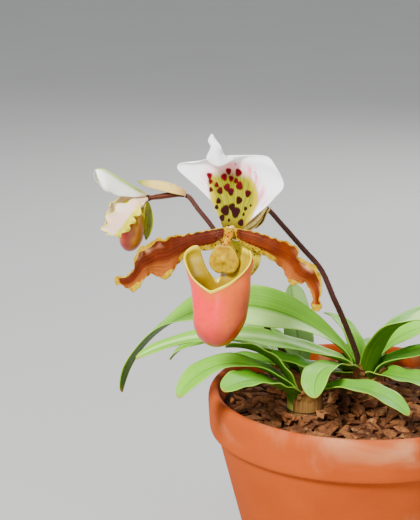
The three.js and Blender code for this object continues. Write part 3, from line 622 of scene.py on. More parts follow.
# %% Pouch
def pouch_finish(name, warm_side, rose, orange, low_tone, painted_shade_and_mottle, gold, edge):
    """warm_side is the mark and the two values of it between which rose turns into orange."""
    f = Finish(name, 0.3, specular=0.3, soft=0.03, soft_reach=(1.0, 0.4, 0.2))
    turn, height, rim = f.mark("turn"), f.mark("height"), f.mark("rim")
    cloud = f.noise(90, 3)
    mottle = f.noise(420, 4)
    warm_mark, *warm_range = warm_side
    f.start(f.band(f.plus(f.mark(warm_mark), cloud, 0.5), *warm_range), rose, orange)
    f.over(f.band(f.plus(height, cloud, 0.3), 0.56, 0.16, 0.85), low_tone)
    # Painted shade: the lower right side of the pouch is darker.
    f.over(f.times(f.band(turn, 0.5, 0.95, 0.75), f.band(height, 0.8, 0.4)), painted_shade_and_mottle)
    f.over(f.band(cloud, 0.5, 0.7, 0.3), orange)
    # Mottle in the same dark colour, which the pouch has all over.
    f.over(f.band(mottle, 0.45, 0.75, 0.22), painted_shade_and_mottle)
    f.over(f.times(f.band(height, 0.6, 0.85), f.band(turn, 0.3, 0.75)), orange)
    f.over(f.band(rim, 7.5, 1.2, 0.85), orange)
    f.over(f.band(height, 0.8, 1.0, 0.6), gold)
    # Painted shade: the golden lining is darker lower down in the pouch's hollow.
    lining = f.mix(f.band(height, 0.5, 0.85), (158, 124, 0), gold)
    lining = f.mix(f.band(mottle, 0.5, 0.7, 0.25), lining, (166, 136, 0))
    f.over(f.band(f.mark("inside"), 0.4, 0.6), lining)
    f.over(f.band(rim, 1.5, 0.5), edge)
    f.set("Coat Weight", 0.4)
    f.set("Coat Roughness", 0.2)
    return f.wear(f.bump(mottle, 0.05))


pouch_skin = pouch_finish(
    "pouch", ("turn", 0.15, 1.0), (236, 14, 34), (202, 82, 0),
    (148, 46, 14), (130, 36, 0), (176, 148, 0), (220, 198, 0),
)
young_pouch_skin = pouch_finish(
    "young_pouch", ("back", 0.42, 0.72), (176, 0, 22), (168, 112, 0),
    (150, 34, 10), (140, 60, 0), (190, 152, 0), (214, 190, 20),
)
print("pouch finishes ready")


# %% [markdown]
# The shield is a small yellow heart with a wrinkled skin, and the stem of the column behind it is
# dotted. The lower sepals are yellow-green with darker veins and a few dark dots. Both are simple
# enough for one or two noises and a few marks.


# %% Shield and lower sepals
def shield_finish():
    f = Finish("shield", 0.45, specular=0.1, soft=0.03, soft_reach=(1.0, 0.7, 0.1))
    wrinkle = f.noise(430, 3)
    f.start(f.band(f.noise(600, 3), 0.4, 0.65), (176, 130, 0), (160, 84, 0))
    f.over(f.band(f.cells(850), 0.34, 0.24), (40, 8, 0))
    dotted = f.colour
    f.start(f.band(wrinkle, 0.4, 0.68), (170, 138, 0), (146, 106, 0))
    f.over(f.mark("stalk"), dotted)
    return f.wear(f.bump(wrinkle, 0.3))


def synsepal_finish(name, pale, green):
    f = Finish(name, 0.5, specular=0.2, soft=0.05)
    veins = f.veins(16.0, 1.0, 5.0)
    f.start(f.band(veins, 0.4, 0.7), pale, green)
    f.over(f.mark("dots"), (36, 6, 2))
    return f.wear(f.bump(veins, 0.12))


shield_skin = shield_finish()
synsepal_skin = synsepal_finish("synsepal", (206, 192, 52), (158, 152, 4))
young_synsepal_skin = synsepal_finish("young_synsepal", (166, 178, 0), (112, 136, 0))
print("shield and synsepal finishes ready")


# %% [markdown]
# On the young flower the dorsal sepal is nearly white, with a green stripe along its middle that
# narrows towards the tip. Adding the mark across the sepal to half the mark along it makes a number
# that grows sooner near the tip, and a band of that number is the stripe.


# %% Young dorsal sepal
def young_dorsal_finish():
    f = Finish("young_dorsal_sepal", 0.48, specular=0.22, soft=0.06)
    f.start(f.noise(300, 2), (252, 251, 242), (246, 245, 230))
    stripe = f.plus(f.math("ABSOLUTE", f.mark("across")), f.mark("along"), 0.5)
    f.over(f.band(stripe, 0.85, 0.45), (146, 172, 10))
    f.over(f.band(f.mark("along"), 0.22, 0.0), (168, 150, 60))
    return f.wear(f.bump(f.noise(900, 2), 0.06))


young_dorsal_skin = young_dorsal_finish()
print("young dorsal sepal finish ready")

# %% [markdown]
# ## The pot
#
# A thrown pot is a turned profile: a tapered wall, a heavy band round the mouth and a flat foot
# with drain holes. Turning the same profile as the solid, with rounded corners and many more
# sides, keeps its form. The profile's corners are rounded by cutting each one twice, which is how
# a smooth curve is got from a few straight lines. The drain holes are cut by a Boolean.

# %% The pot's measurements
clearance = 0.3
pot_height = 112
pot_rim_radius = 75
pot_band_height = 22
pot_band_step = 4.5
pot_foot_radius = 47.5
pot_wall = 5.5
pot_floor = 6
pot_sides = 144
drain_holes = 4
drain_hole_radius = 5
drain_ring_radius = 24
hole_sides = 32
pot_band_bottom = pot_height - pot_band_height
pot_body_top = pot_rim_radius - pot_band_step
pot_mouth = pot_rim_radius - pot_wall
pot_inner_foot = pot_foot_radius - pot_wall + 1
print("pot", 2 * pot_rim_radius, "mm across and", pot_height, "mm high")


# %% [markdown]
# A potter turns a pot, and so does this step: the profile becomes rings of points round the axis,
# joined by quads. A Screw modifier would do the same, but the bark mix and the knobs need such rings
# as well. For the holes the sides of the floor must be cut clean, so a rod is taken away from it.


# %% Turn the pot and cut its drain holes
def rounded(profile, times=2):
    """Cuts every inner corner of a profile, again and again, so that it turns into a curve."""
    profile = np.asarray(profile, float)
    for _ in range(times):
        near = 0.75 * profile[:-1] + 0.25 * profile[1:]
        far = 0.25 * profile[:-1] + 0.75 * profile[1:]
        cut = np.stack([near, far], 1).reshape(-1, 2)
        profile = np.concatenate([profile[:1], cut, profile[-1:]])
    return profile


def pot_piece():
    tight = 0.8
    outside = [
        [0.4, 0], [pot_foot_radius - 2, 0], [pot_foot_radius - 1.5, 0], [pot_foot_radius, 1.5],
        [pot_foot_radius + tight, 4], [pot_body_top - tight, pot_band_bottom - 3],
        [pot_body_top, pot_band_bottom], [pot_rim_radius - 1.5, pot_band_bottom + 1],
        [pot_rim_radius - 0.8, pot_band_bottom + 3], [pot_rim_radius - 0.4, pot_height - 12],
        [pot_rim_radius, pot_height - 4], [pot_rim_radius - 1.2, pot_height - 1],
        [pot_rim_radius - 2.6, pot_height], [pot_mouth + 1, pot_height - 0.4],
        [pot_mouth, pot_height - 2], [pot_mouth - 1, pot_height - 8],
        [pot_inner_foot + 2, pot_floor + 1], [pot_inner_foot, pot_floor], [0.4, pot_floor],
    ]
    rings = turned_rings(rounded(outside), pot_sides)
    faces = ring_faces(len(rings), pot_sides)
    pot = mesh_piece("pot_body", rings.reshape(-1, 3), faces, {}, terracotta)
    for k in range(drain_holes):
        angle = 2 * math.pi * (k + 0.5) / drain_holes
        middle = [drain_ring_radius * math.cos(angle), drain_ring_radius * math.sin(angle), 0]
        ends = [(drain_hole_radius, -3), (drain_hole_radius, pot_floor + 3)]
        rod = turned_rings(ends, hole_sides) + middle
        drill = mesh_piece("drill", rod.reshape(-1, 3), ring_faces(2, hole_sides), {}, None)
        cut = pot.modifiers.new("drain_hole", "BOOLEAN")
        cut.object = drill
        cut.operation = "DIFFERENCE"
        bpy.context.view_layer.objects.active = pot
        bpy.ops.object.modifier_apply(modifier=cut.name)
        bpy.data.objects.remove(drill)
    on_plant(pot, "terracotta", "pot")


pot_piece()

# %% [markdown]
# ## The bark mix
#
# The mix is loose chips. Modelling every chip down to the floor of the pot would be a waste, so a
# body fills the pot, in the darkest bark tone as painted shade between the chips, and several hundred
# chips lie on top of it and sink partly into it. More are heaped round each knob of rootstock, and a
# few large ones lie at the crown. A chip is a convex hull of random points, which gives the flat,
# angular faces of broken bark.

# %% The mix's measurements
mix_level = 103.5
mix_crown_rise = 4.5
mix_crown_spread = 38
chip_count = 620
chip_spread = 66.5
heaped_chips = 36
large_chips = [
    (11, -6, 8, 9.5), (6, -8, 9, 10.5), (0, -8, 8, 10.5), (-6, -7, 8, 9), (9, -3, 8, 10.5),
    (3, -5, 9, 11), (-6, -18, 15, 2.6), (4, -20, 14, 2.2), (-13, -9, 12, 2.4), (10, -14, 10, 1.6),
    (-2, -24, 11, 1.5),
]
growths = {
    "a": {"x": 2, "y": 0, "top": 112, "knob": 11.2},
    "b": {"x": -28, "y": -24, "top": 110, "knob": 9.8},
    "c": {"x": -27.5, "y": 8, "top": 110, "knob": 9.8},
}


def mix_top(radius):
    """Height of the mix at a distance from the pot's middle: it rises a little at the crown."""
    return mix_level + mix_crown_rise * bell(radius, 0, mix_crown_spread)


def pot_inner_radius(height):
    """The inside of the pot's wall at a height."""
    low = pot_floor + 1
    high = pot_height - 2
    return pot_inner_foot + 2 + (pot_mouth - pot_inner_foot - 2) * (height - low) / (high - low)


print("mix stands", pot_height - mix_level, "mm below the rim")


# %% [markdown]
# A particle system could scatter the chips, but a real mesh travels with the part. The chips lie on
# a sunflower spiral, which spreads points evenly over a disc, and each is shifted, turned and tilted
# by chance. The chance comes from a stream with a fixed start, so each run gives the same pot.

# %% Break the chips and spread them
chip_corners = 11


def chip_parts(stream, size):
    """Points and triangles of one chip, round its own middle."""
    shape = bmesh.new()
    for _ in range(chip_corners):
        shape.verts.new([stream.uniform(-0.5, 0.5) * side for side in size])
    bmesh.ops.convex_hull(shape, input=shape.verts[:])
    loose = [vertex for vertex in shape.verts if not vertex.link_faces]
    bmesh.ops.delete(shape, geom=loose, context="VERTS")
    shape.verts.index_update()
    points = np.array([vertex.co[:] for vertex in shape.verts])
    faces = [[vertex.index for vertex in face.verts] for face in shape.faces]
    shape.free()
    return points, faces


def mix_piece():
    stream = random.Random(11)
    sides = 64
    bottom = pot_floor + clearance
    profile = [(0.4, bottom), (pot_inner_foot - clearance, bottom)]
    profile += [(pot_inner_radius(height) - 0.4, height) for height in (bottom + 1.5, 102)]
    profile += [(r, mix_top(r) - 1.6) for r in (60, 50, 40, 30, 20, 10, 0.4)]
    rings = turned_rings(profile, sides)
    points = [rings.reshape(-1, 3)]
    faces = ring_faces(len(rings), sides)
    # The body takes the darkest bark tone: painted shade in the gaps between the chips.
    tones = [np.zeros(len(rings) * sides)]
    count = len(points[0])
    golden = math.pi * (3 - math.sqrt(5))
    heaped = [(fan, step) for fan in growths.values() for step in range(heaped_chips)]
    for k in range(chip_count + len(large_chips) + len(heaped)):
        if k < chip_count:
            radius = chip_spread * math.sqrt((k + 0.5) / chip_count)
            x = radius * math.cos(golden * k) + stream.uniform(-1.5, 1.5)
            y = radius * math.sin(golden * k) + stream.uniform(-1.5, 1.5)
            length = stream.uniform(6, 13)
            lift = stream.uniform(-1.6, 0.8)
            size = (length, length * stream.uniform(0.45, 0.8), stream.uniform(2.6, 5))
        elif k < chip_count + len(large_chips):
            x, y, length, lift = large_chips[k - chip_count]
            size = (length, 8, 7)
        else:
            fan, step = heaped[k - chip_count - len(large_chips)]
            away = fan["knob"] + stream.uniform(0.6, 4)
            angle = 2 * math.pi * (step + stream.random()) / heaped_chips
            x = fan["x"] + away * math.cos(angle)
            y = fan["y"] + away * math.sin(angle)
            length, lift = stream.uniform(6, 11), stream.uniform(1, 5.5)
            size = (length, length * 0.6, stream.uniform(3, 5))
        radius = math.hypot(x, y)
        fans = growths.values()
        over_knob = any(math.hypot(x - fan["x"], y - fan["y"]) < fan["knob"] - 1 for fan in fans)
        past_wall = length / 2 + radius > pot_inner_radius(mix_level) - 0.5
        if past_wall or (over_knob and k < chip_count):
            continue
        chip, chip_faces = chip_parts(stream, size)
        turn = Matrix.Rotation(stream.uniform(0, 2 * math.pi), 3, "Z")
        tilt = Matrix.Rotation(stream.uniform(-0.35, 0.35), 3, "X")
        turned_chip = chip @ np.array(turn @ tilt).T
        points.append(turned_chip + [x, y, float(mix_top(radius)) + lift])
        faces += [[count + corner for corner in face] for face in chip_faces]
        tones.append(np.full(len(chip), stream.random()))
        count += len(chip)
    marks = {"chip": np.concatenate(tones)}
    mix = mesh_piece("potting_bark", np.concatenate(points), faces, marks, bark)
    flat = [len(face.vertices) > 3 for face in mix.data.polygons]
    mix.data.polygons.foreach_set("use_smooth", flat)
    on_plant(mix, "bark", "potting_mix")


mix_piece()

# %% [markdown]
# ## The rootstock and old sheaths
#
# Each fan grows from a short knob of rootstock, and a creeping stem joins the three. Only the tops
# of the knobs show, but the buried part is kept too, because a lifted plant would show it. Dry,
# papery sheaths of leaves that have died back still clasp the foot of each fan.


# %% Knobs, creeping stem and roots
root_runs = [
    [[4, 2, 104], [18, 10, 92], [30, 14, 70], [34, 16, 46]],
    [[2, -4, 104], [10, -20, 90], [16, -30, 64], [14, -32, 38]],
    [[-2, 4, 104], [-2, 22, 90], [4, 34, 66], [6, 36, 42]],
    [[-30, -26, 102], [-38, -34, 84], [-36, -30, 60], [-30, -22, 36]],
    [[-30, 10, 102], [-42, 18, 86], [-42, 16, 60], [-34, 12, 34]],
]


def rootstock_piece():
    points = []
    faces = []

    def add(rings):
        start = sum(len(part) for part in points)
        points.append(rings.reshape(-1, 3))
        faces.extend(ring_faces(len(rings), rings.shape[1], start))

    for fan in growths.values():
        top = fan["top"]
        knob = fan["knob"]
        profile = [(0.4, top - 14), (knob * 0.6, top - 13), (knob, top - 7), (knob, top - 1)]
        profile += [(knob - 0.8, top), (0.4, top)]
        rings = turned_rings(rounded(profile), 48)
        add(rings + [fan["x"], fan["y"], 0])
    centre = {key: [fan["x"], fan["y"], 104] for key, fan in growths.items()}
    for start, end in (("a", "c"), ("c", "b")):
        route = [centre[start], centre[end]]
        rings, _, _ = tube_rings(route, lambda t, angle: np.full(len(angle), 4.5), 24, 6)
        add(rings)
    for run in root_runs:
        rings, _, _ = tube_rings(run, lambda t, angle: np.full(len(angle), 1.8 * (1 - 0.25 * t)), 16, 24)
        add(rings)
    piece = mesh_piece("rootstock_body", np.concatenate(points), faces, {}, rootstock_skin)
    on_plant(piece, "root", "rootstock")


rootstock_piece()

# %% [markdown]
# ## The leaves
#
# A leaf starts as a sheath that clasps the fan, then the blade arches out: it leaves at one slope
# and ends at another. Walking along the midrib in small steps and turning the heading a little at
# each step gives the arch, and a gutter is bent across it at every step. A crease runs down the
# middle, the margins ripple a little, and the blade thins to its edge.

# %% Each leaf's measurements
leaf_fields = [
    "name", "ring", "facing", "length", "rise", "fall", "late", "sweep", "roll", "half", "lean",
]
leaf_rows = [
    ["a1", 6.8, 196, 126, 23, -21, 2, 10, 0, 8.5, -14],
    ["a2", 5.4, 176, 162, 52, -80, 1.2, -8, 8, 10.5, -67],
    ["a3", 2.9, 98, 50, 61, 2, 1.1, 44, 8, 4.9, 0],
    ["a4", 9.6, 208, 52, 15, 24, 0.7, -16, -12, 6.5, 0],
    ["a5", 8.2, 226, 67, 49, -22, 0.7, 47, 12, 8, 0],
    ["a6", 6.8, -63, 104, 73, -45, 1.3, 46, 12, 9, 0],
    ["a7", 4, 14, 84, 64, -60, 1.1, 14, 15, 8.5, 0],
    ["a8", 5.4, 48, 96, 36, -20, 0.9, 1, 15, 8.5, 0],
    ["a9", 8.2, -10, 98, 31, -22, 1, 10, 15, 8, 0],
    ["a10", 9.6, -51, 66, 12, -6, 1, 24, 10, 8, 0],
    ["a11", 9.6, 74, 54, 12, -16, 1, 0, 8, 8, 0],
    ["b1", 5.6, 189, 52, 78, -13, 1.2, -20, 25, 8, 0],
    ["b2", 7, 194, 78, 51, -50, 1.3, 28, -8, 8, 0],
    ["b3", 8.4, 218, 56, 37, -19, 1.7, 10, -10, 9, 0],
    ["b4", 7, -36, 60, 38, -36, 1, 0, 0, 8, 0],
    ["c1", 5.6, 216, 85, 43, -58, 1.9, -64, -12, 7, 0],
    ["c2", 4.2, 98, 50.5, 68, 80, 1.4, 42, 0, 8.4, 0],
    ["c3", 7, 121, 60, 39, -20, 1, 6, 0, 7.5, 0],
    ["c4", 8.4, 159, 50, 17, -20, 1, 8, 0, 7.5, 0],
]
sheath_height = 5
sheath_clasp = 50
leaf_gutter = 24
print(len(leaf_rows), "leaves measured")


# %% [markdown]
# A leaf could be a flat strip that a curve bends, but its clasping foot, its gutter and its twist
# would each need a tool of their own. Walking along the midrib gives them together: at each place the
# way ahead, the way aside and the way up are known, and the gutter is an arc across them.


# %% The blade's grid
def leaf_heading(leaf, s):
    """The way along the leaf and the two ways across it, at places s from foot to tip."""
    sheath = sheath_height / leaf["length"]
    out = np.clip((s - sheath) / (1 - sheath), 0, 1)
    slope = leaf["rise"] + (leaf["fall"] - leaf["rise"]) * out ** leaf["late"]
    climb = np.radians(88 + (slope - 88) * ease(out / 0.12))
    turn = np.radians(leaf["facing"] + leaf["sweep"] * out**1.5)
    along = np.stack([np.cos(climb) * np.cos(turn), np.cos(climb) * np.sin(turn), np.sin(climb)], -1)
    side = np.stack([-np.sin(turn), np.cos(turn), 0 * turn], -1)
    up = np.cross(along, side)
    twist = leaf["lean"] * bell(out, 0.42, 0.2)
    roll = np.radians(leaf["roll"] * ease(out / 0.9) + twist)[:, None]
    return out, along, side * np.cos(roll) + up * np.sin(roll), up * np.cos(roll) - side * np.sin(roll)


def leaf_grid(leaf, rows, columns, wave, stream):
    """Middle surface of a leaf, with the place of each point along and across it."""
    fan = growths[leaf["name"][0]]
    facing = math.radians(leaf["facing"])
    foot = [fan["x"] + leaf["ring"] * math.cos(facing), fan["y"] + leaf["ring"] * math.sin(facing)]
    steps = 384
    _, along, _, _ = leaf_heading(leaf, (np.arange(steps) + 0.5) / steps)
    walked = np.concatenate([[[0, 0, 0]], np.cumsum(along * leaf["length"] / steps, axis=0)])
    walked += [*foot, fan["top"] + clearance]
    t = np.linspace(0, 1, rows + 1)
    s = 0.5 * t + 0.25 * (1 - np.cos(math.pi * t))
    spine = np.stack([np.interp(s * steps, np.arange(steps + 1), walked[:, k]) for k in range(3)], -1)
    out, _, side, up = leaf_heading(leaf, s)
    clasp = math.radians(sheath_clasp)
    foot_half = clasp * leaf["ring"]
    blunt = 0.8 if leaf["name"] == "c2" else 0.55
    tip = np.clip((s - blunt) / (1 - blunt), 0, 1)
    half = (foot_half + (leaf["half"] - foot_half) * ease(out / 0.4)) * np.sqrt(1 - tip**2.4)
    half = np.maximum(half, 0.5)[:, None]
    bend = (clasp + (math.radians(leaf_gutter) - clasp) * ease(out / 0.35))[:, None]
    w = np.linspace(-1, 1, columns + 1)
    u = np.sign(w) * np.abs(w) ** 1.35
    radius = half / bend
    free = (ease(out / 0.3) * (1 - ease((s - 0.85) / 0.15)))[:, None]
    ripple = np.sin(2 * math.pi * s * stream.uniform(3, 5) + stream.uniform(0, 6))[:, None] * np.sign(u)
    crease = 0.06 * half * bell(u, 0, 0.14) * ease(out / 0.25)[:, None]
    lift = radius * (1 - np.cos(bend * u)) - crease + wave * free * ripple * np.abs(u) ** 3
    middle = spine[:, None] + side[:, None] * (radius * np.sin(bend * u))[..., None]
    middle = middle + up[:, None] * lift[..., None]
    return middle, np.broadcast_to(s[:, None], lift.shape), np.broadcast_to(u, lift.shape)


def sheen_and_pale_share(name, s, u):
    """Where a blade is painted paler: a painted sheen on one half of a2, beside its crease, and paler
    patches on a1, a6 and c2.
    """
    if name == "a2":
        return 0.5 * ease((u - 0.05) / 0.15) * ease((s - 0.12) / 0.1) * ease((0.62 - s) / 0.12)
    if name == "c2":
        return 0.5 + 0 * s
    if name == "a6":
        return 0.7 * ease((s - 0.35) / 0.2)
    if name == "a1":
        return 0.6 * bell(u, -0.35, 0.16) * ease((s - 0.1) / 0.1)
    return 0 * s


def leaf_pieces():
    stream = random.Random(5)
    for row in leaf_rows:
        leaf = dict(zip(leaf_fields, row))
        middle, s, u = leaf_grid(leaf, 90, 18, 0.4, stream)
        marks = {"tone": np.full(s.shape, stream.random()), "pale": sheen_and_pale_share(leaf["name"], s, u)}
        thickness = 0.36 + 0.36 * (1 - np.abs(u))
        blade, node = "blade_" + leaf["name"], "leaf_" + leaf["name"]
        sheet_piece(blade, "leaf", [node], (middle, s, u), thickness, marks, leaf_skin)


leaf_pieces()

# %% [markdown]
# A dead sheath is a short, narrow leaf made in the same way, standing round the foot of its fan,
# with a more crumpled edge.


# %% Dry sheaths round the fans
sheath_rows = [
    ["a12", 10.6, -118, 17, 84, 52, 1, 10, 0, 6, 0],
    ["a13", 10.7, -38, 13, 80, 60, 1, -12, 0, 5, 0],
    ["a14", 10.6, 140, 15, 82, 55, 1, 0, 0, 6, 0],
    ["b5", 9.4, -82, 14, 80, 42, 1, 12, 0, 6, 0],
    ["c5", 9.4, 236, 12, 82, 60, 1, 0, 0, 5, 0],
]


def sheath_pieces():
    stream = random.Random(23)
    for row in sheath_rows:
        leaf = dict(zip(leaf_fields, row))
        grid = leaf_grid(leaf, 30, 16, 1.1, stream)
        marks = {"tone": np.full(grid[1].shape, 9 * stream.random())}
        sheet_piece("dry_sheath_" + leaf["name"], "leaf", [], grid, 0.25, marks, dry_sheath)


sheath_pieces()

# %% [markdown]
# ## The flower stalks
#
# Each stalk climbs from its fan and bends at the top towards its flower. Fine hair stands off it.
# A hair here is a thin three-sided spike, because a real mesh travels with the part where a
# particle system would not.

# %% Where the stalks and flowers stand
scape_one_route = [
    [2, 0, 112.3], [1.9, 0, 114.5], [-0.6, 0.6, 128], [-8, 2, 147], [-13, 0.5, 158],
    [-19.5, 0, 172.5], [-29, -2, 184], [-39.5, -4.5, 196.5], [-44.5, -6, 202.5], [-47, -8.5, 205],
    [-48.2, -11, 205.4],
]
scape_two_route = [
    [-27.5, 8, 110.4], [-27.8, 8.1, 112.5], [-31.5, 8.9, 119], [-38.4, 11, 129], [-44.3, 13.6, 137.4],
    [-51.3, 16.5, 149.4], [-59.2, 22, 164], [-66.7, 27, 178.1], [-73.3, 29.5, 188.1], [-80, 31, 196.4],
    [-84.3, 31.7, 202.2], [-86.5, 32, 203.2],
]
scape_foot = 1.5
scape_tip = 1.15
flower_one = {"place": [-64.5, -36.5, 199.5], "turn": 20}
flower_two = {"place": [-106, 31.5, 202], "turn": 60}
young_scale = 0.54
receptacle_radius = 3.2


def in_flower(points, flower):
    """From [right, up, forward] of a flower to the plant's own axes."""
    right, up, forward = np.moveaxis(np.asarray(points, float), -1, 0)
    c = math.cos(math.radians(flower["turn"]))
    s = math.sin(math.radians(flower["turn"]))
    return np.stack([right * c - forward * s, -right * s - forward * c, up], -1) + flower["place"]


print("flowers stand at", flower_one["place"], "and", flower_two["place"])


# %% [markdown]
# A stalk is a tube that gets thinner from foot to tip, with a slight swelling near the foot. Its hair
# is planted between the rings of that same tube, so that every hair starts at the skin.

# %% Hair and stalks
hair_radius = 0.04


def hair_piece(name, roots, directions, lengths, slot):
    """Spikes that stand on their roots, each one a cone of three faces."""
    directions = unit(directions)
    first = unit(np.cross(directions, [0.31, 0.52, 0.79]))
    second = np.cross(directions, first)
    points = [roots + directions * lengths[:, None]]
    for k in range(3):
        angle = 2 * math.pi * k / 3
        points.append(roots + hair_radius * (math.cos(angle) * first + math.sin(angle) * second))
    count = len(roots)
    tip = np.arange(count)
    faces = [np.stack([tip, tip + (1 + k) * count, tip + (1 + (k + 1) % 3) * count], -1) for k in range(3)]
    piece = mesh_piece(name, np.concatenate(points), np.concatenate(faces), {}, hair_skin)
    on_plant(piece, slot)


def tube_hair(name, rings, count, seed, slot, longest=0.9):
    """Hair over a tube, leaning a little towards the tube's end."""
    stream = np.random.default_rng(seed)
    centre = rings.mean(axis=1)
    heading = unit(np.gradient(centre, axis=0))
    ring = stream.integers(1, len(rings) - 1, count)
    around = stream.integers(0, rings.shape[1], count)
    share = stream.random(count)[:, None]
    roots = rings[ring, around] * share + rings[ring - 1, around] * (1 - share)
    out = unit(rings[ring, around] - centre[ring])
    directions = out + 0.4 * heading[ring] + stream.normal(0, 0.25, (count, 3))
    hair_piece(name, roots - 0.1 * out, directions, stream.uniform(0.4, longest, count), slot)


def scape_piece(number, route, hairs):
    def radius(t, angle):
        swelling = 0.12 * bell(t, 0.03, 0.03)
        return np.full(len(angle), scape_foot + (scape_tip - scape_foot) * t + swelling)

    name, node = f"stalk_{number}", f"scape_{number}"
    rings = tube_piece(name, "scape", node, route, radius, 20, 150, {}, stalk_skin)
    tube_hair(f"stalk_hair_{number}", rings, hairs, number, "scape")


scape_piece(1, scape_one_route, 2600)
scape_piece(2, scape_two_route, 2400)

# %% [markdown]
# ## Ovaries and bracts
#
# The ovary is the ribbed stem behind the flower that would become the seed pod. It widens to the
# receptacle, where all the flower's parts meet. A bract, a small boat-shaped sheath, clasps it.

# %% Measurements of ovaries and bracts
rib_count = 6
ovary_one_route = [
    [6.5, 5.9, -29.1], [6.3, 4.7, -23], [5, 1.8, -14], [2.4, 0.2, -6.5], [0.4, 0, -2.4], [0, 0, -0.3],
]
ovary_two_route = [[9.2, 1.5, -16.8], [7, 1.8, -13], [3, 0.8, -6], [0.3, 0, -1.6], [0, 0, -0.3]]
bract_one = [
    [[4.8, 6.4, -32], [7.1, 3.3, -32], [9.3, 6.6, -32]],
    [[3.1, 6.4, -28], [6.6, 2.3, -28], [9.8, 6.6, -28]],
    [[2.9, 5.6, -24], [6.5, 1, -24], [9.9, 5.8, -24]],
    [[3.4, 1.4, -20.5], [6.3, -0.3, -20.5], [9.2, 1.6, -20.5]],
    [[5.8, -1, -17.6], [6.3, -1.1, -17.6], [6.8, -1, -17.6]],
]
bract_two = [
    [[11.2, 1.4, -16.4], [9.5, 3.5, -17.3], [7.8, 1.4, -18.2]],
    [[10.1, 2.6, -11.5], [7.5, 6.3, -13], [4.9, 2.6, -14.5]],
    [[6.4, 4.2, -5.6], [4, 8.4, -7], [1.6, 4.2, -8.4]],
    [[1.6, 6.2, 0.9], [0, 9, 0], [-1.6, 6.2, -0.9]],
    [[-1.9, 8.2, 4.2], [-2.3, 8.7, 4], [-2.7, 8.2, 3.8]],
]


def ovary_piece(number, flower, route, girth, receptacle, hairs, finish):
    def radius(t, angle):
        swell = girth * (0.72 + 0.28 * math.sin(math.pi * min(1, t * 1.05)))
        seat = (receptacle - swell) * float(ease((t - 0.86) / 0.14))
        return (swell + seat) * (1 + 0.06 * np.cos(rib_count * angle))

    placed = in_flower(route, flower)
    ribs = {"rib": lambda angle: np.cos(rib_count * angle)}
    name, node = f"pod_{number}", f"ovary_{number}"
    rings = tube_piece(name, "ovary", node, placed, radius, 72, 70, ribs, finish)
    tube_hair(f"pod_hair_{number}", rings, hairs, 10 + number, "ovary", 0.7)


ovary_piece(1, flower_one, ovary_one_route, 2.7, receptacle_radius, 1100, ovary_skin)
ovary_piece(2, flower_two, ovary_two_route, 1.5, receptacle_radius * young_scale, 500, young_ovary_skin)


# %% [markdown]
# A sepal or a bract is measured at stations: one edge, the midrib and the other edge. A smooth curve
# joins the stations, and across them a parabola through the three points gives the hollow. It could
# be modelled by hand, but this way the bracts, sepals and petals all share one helper.


# %% Sepal grids, and the two bracts
def sepal_grid(stations, rows, columns, low_end=1.0, middle=1.0):
    """The middle surface of a sepal from its measured stations, in the flower's own directions.

    low_end above 1 puts more rows near the foot; middle above 1 puts more columns near the midrib.
    """
    s = np.linspace(0, 1, rows + 1) ** low_end
    measured = through([np.ravel(edges) for edges in stations], s)[:, None]
    w = np.linspace(-1, 1, columns + 1)
    u = np.sign(w) * np.abs(w) ** middle
    first, rib, second = measured[..., 0:3], measured[..., 3:6], measured[..., 6:9]
    across = u[None, :, None]
    grid = rib + (second - first) / 2 * across + ((first + second) / 2 - rib) * across**2
    shape = grid.shape[:2]
    return grid, np.broadcast_to(s[:, None], shape), np.broadcast_to(u, shape)


def flower_sheet(name, slot, node, flower, sheet, thickness, marks, finish):
    """A sheet that was measured in a flower's own directions, in its place on the plant."""
    grid, s, u = sheet
    sheet_piece(name, slot, [node], (in_flower(grid, flower), s, u), thickness, marks, finish)


def sepal_piece(name, slot, node, flower, sheet, marks, finish):
    """A sepal in its flower, thickest along its midrib."""
    thickness = 0.3 + 0.35 * bell(sheet[2], 0, 0.35)
    flower_sheet(name, slot, node, flower, sheet, thickness, marks, finish)


def bract_piece(number, flower, stations, finish):
    sheet = sepal_grid(stations, 60, 30)
    thickness = 0.3 + 0.4 * bell(sheet[2], 0, 0.2)
    name, node = f"boat_bract_{number}", f"bract_{number}"
    flower_sheet(name, "ovary", node, flower, sheet, thickness, {}, finish)


bract_piece(1, flower_one, bract_one, bract_skin)
bract_piece(2, flower_two, bract_two, young_bract_skin)

# %% [markdown]
# ## The dorsal sepal of the open flower
#
# The flag above the flower: two broad white wings, and an apex that folds forward as a small hood
# and then turns up. Each spot has its own place, measured from the flower's base. Every point of
# the mesh asks how far the nearest spot is, with distances stretched along the veins, which run
# out from the base like a fan, because spots on these flowers follow the veins.

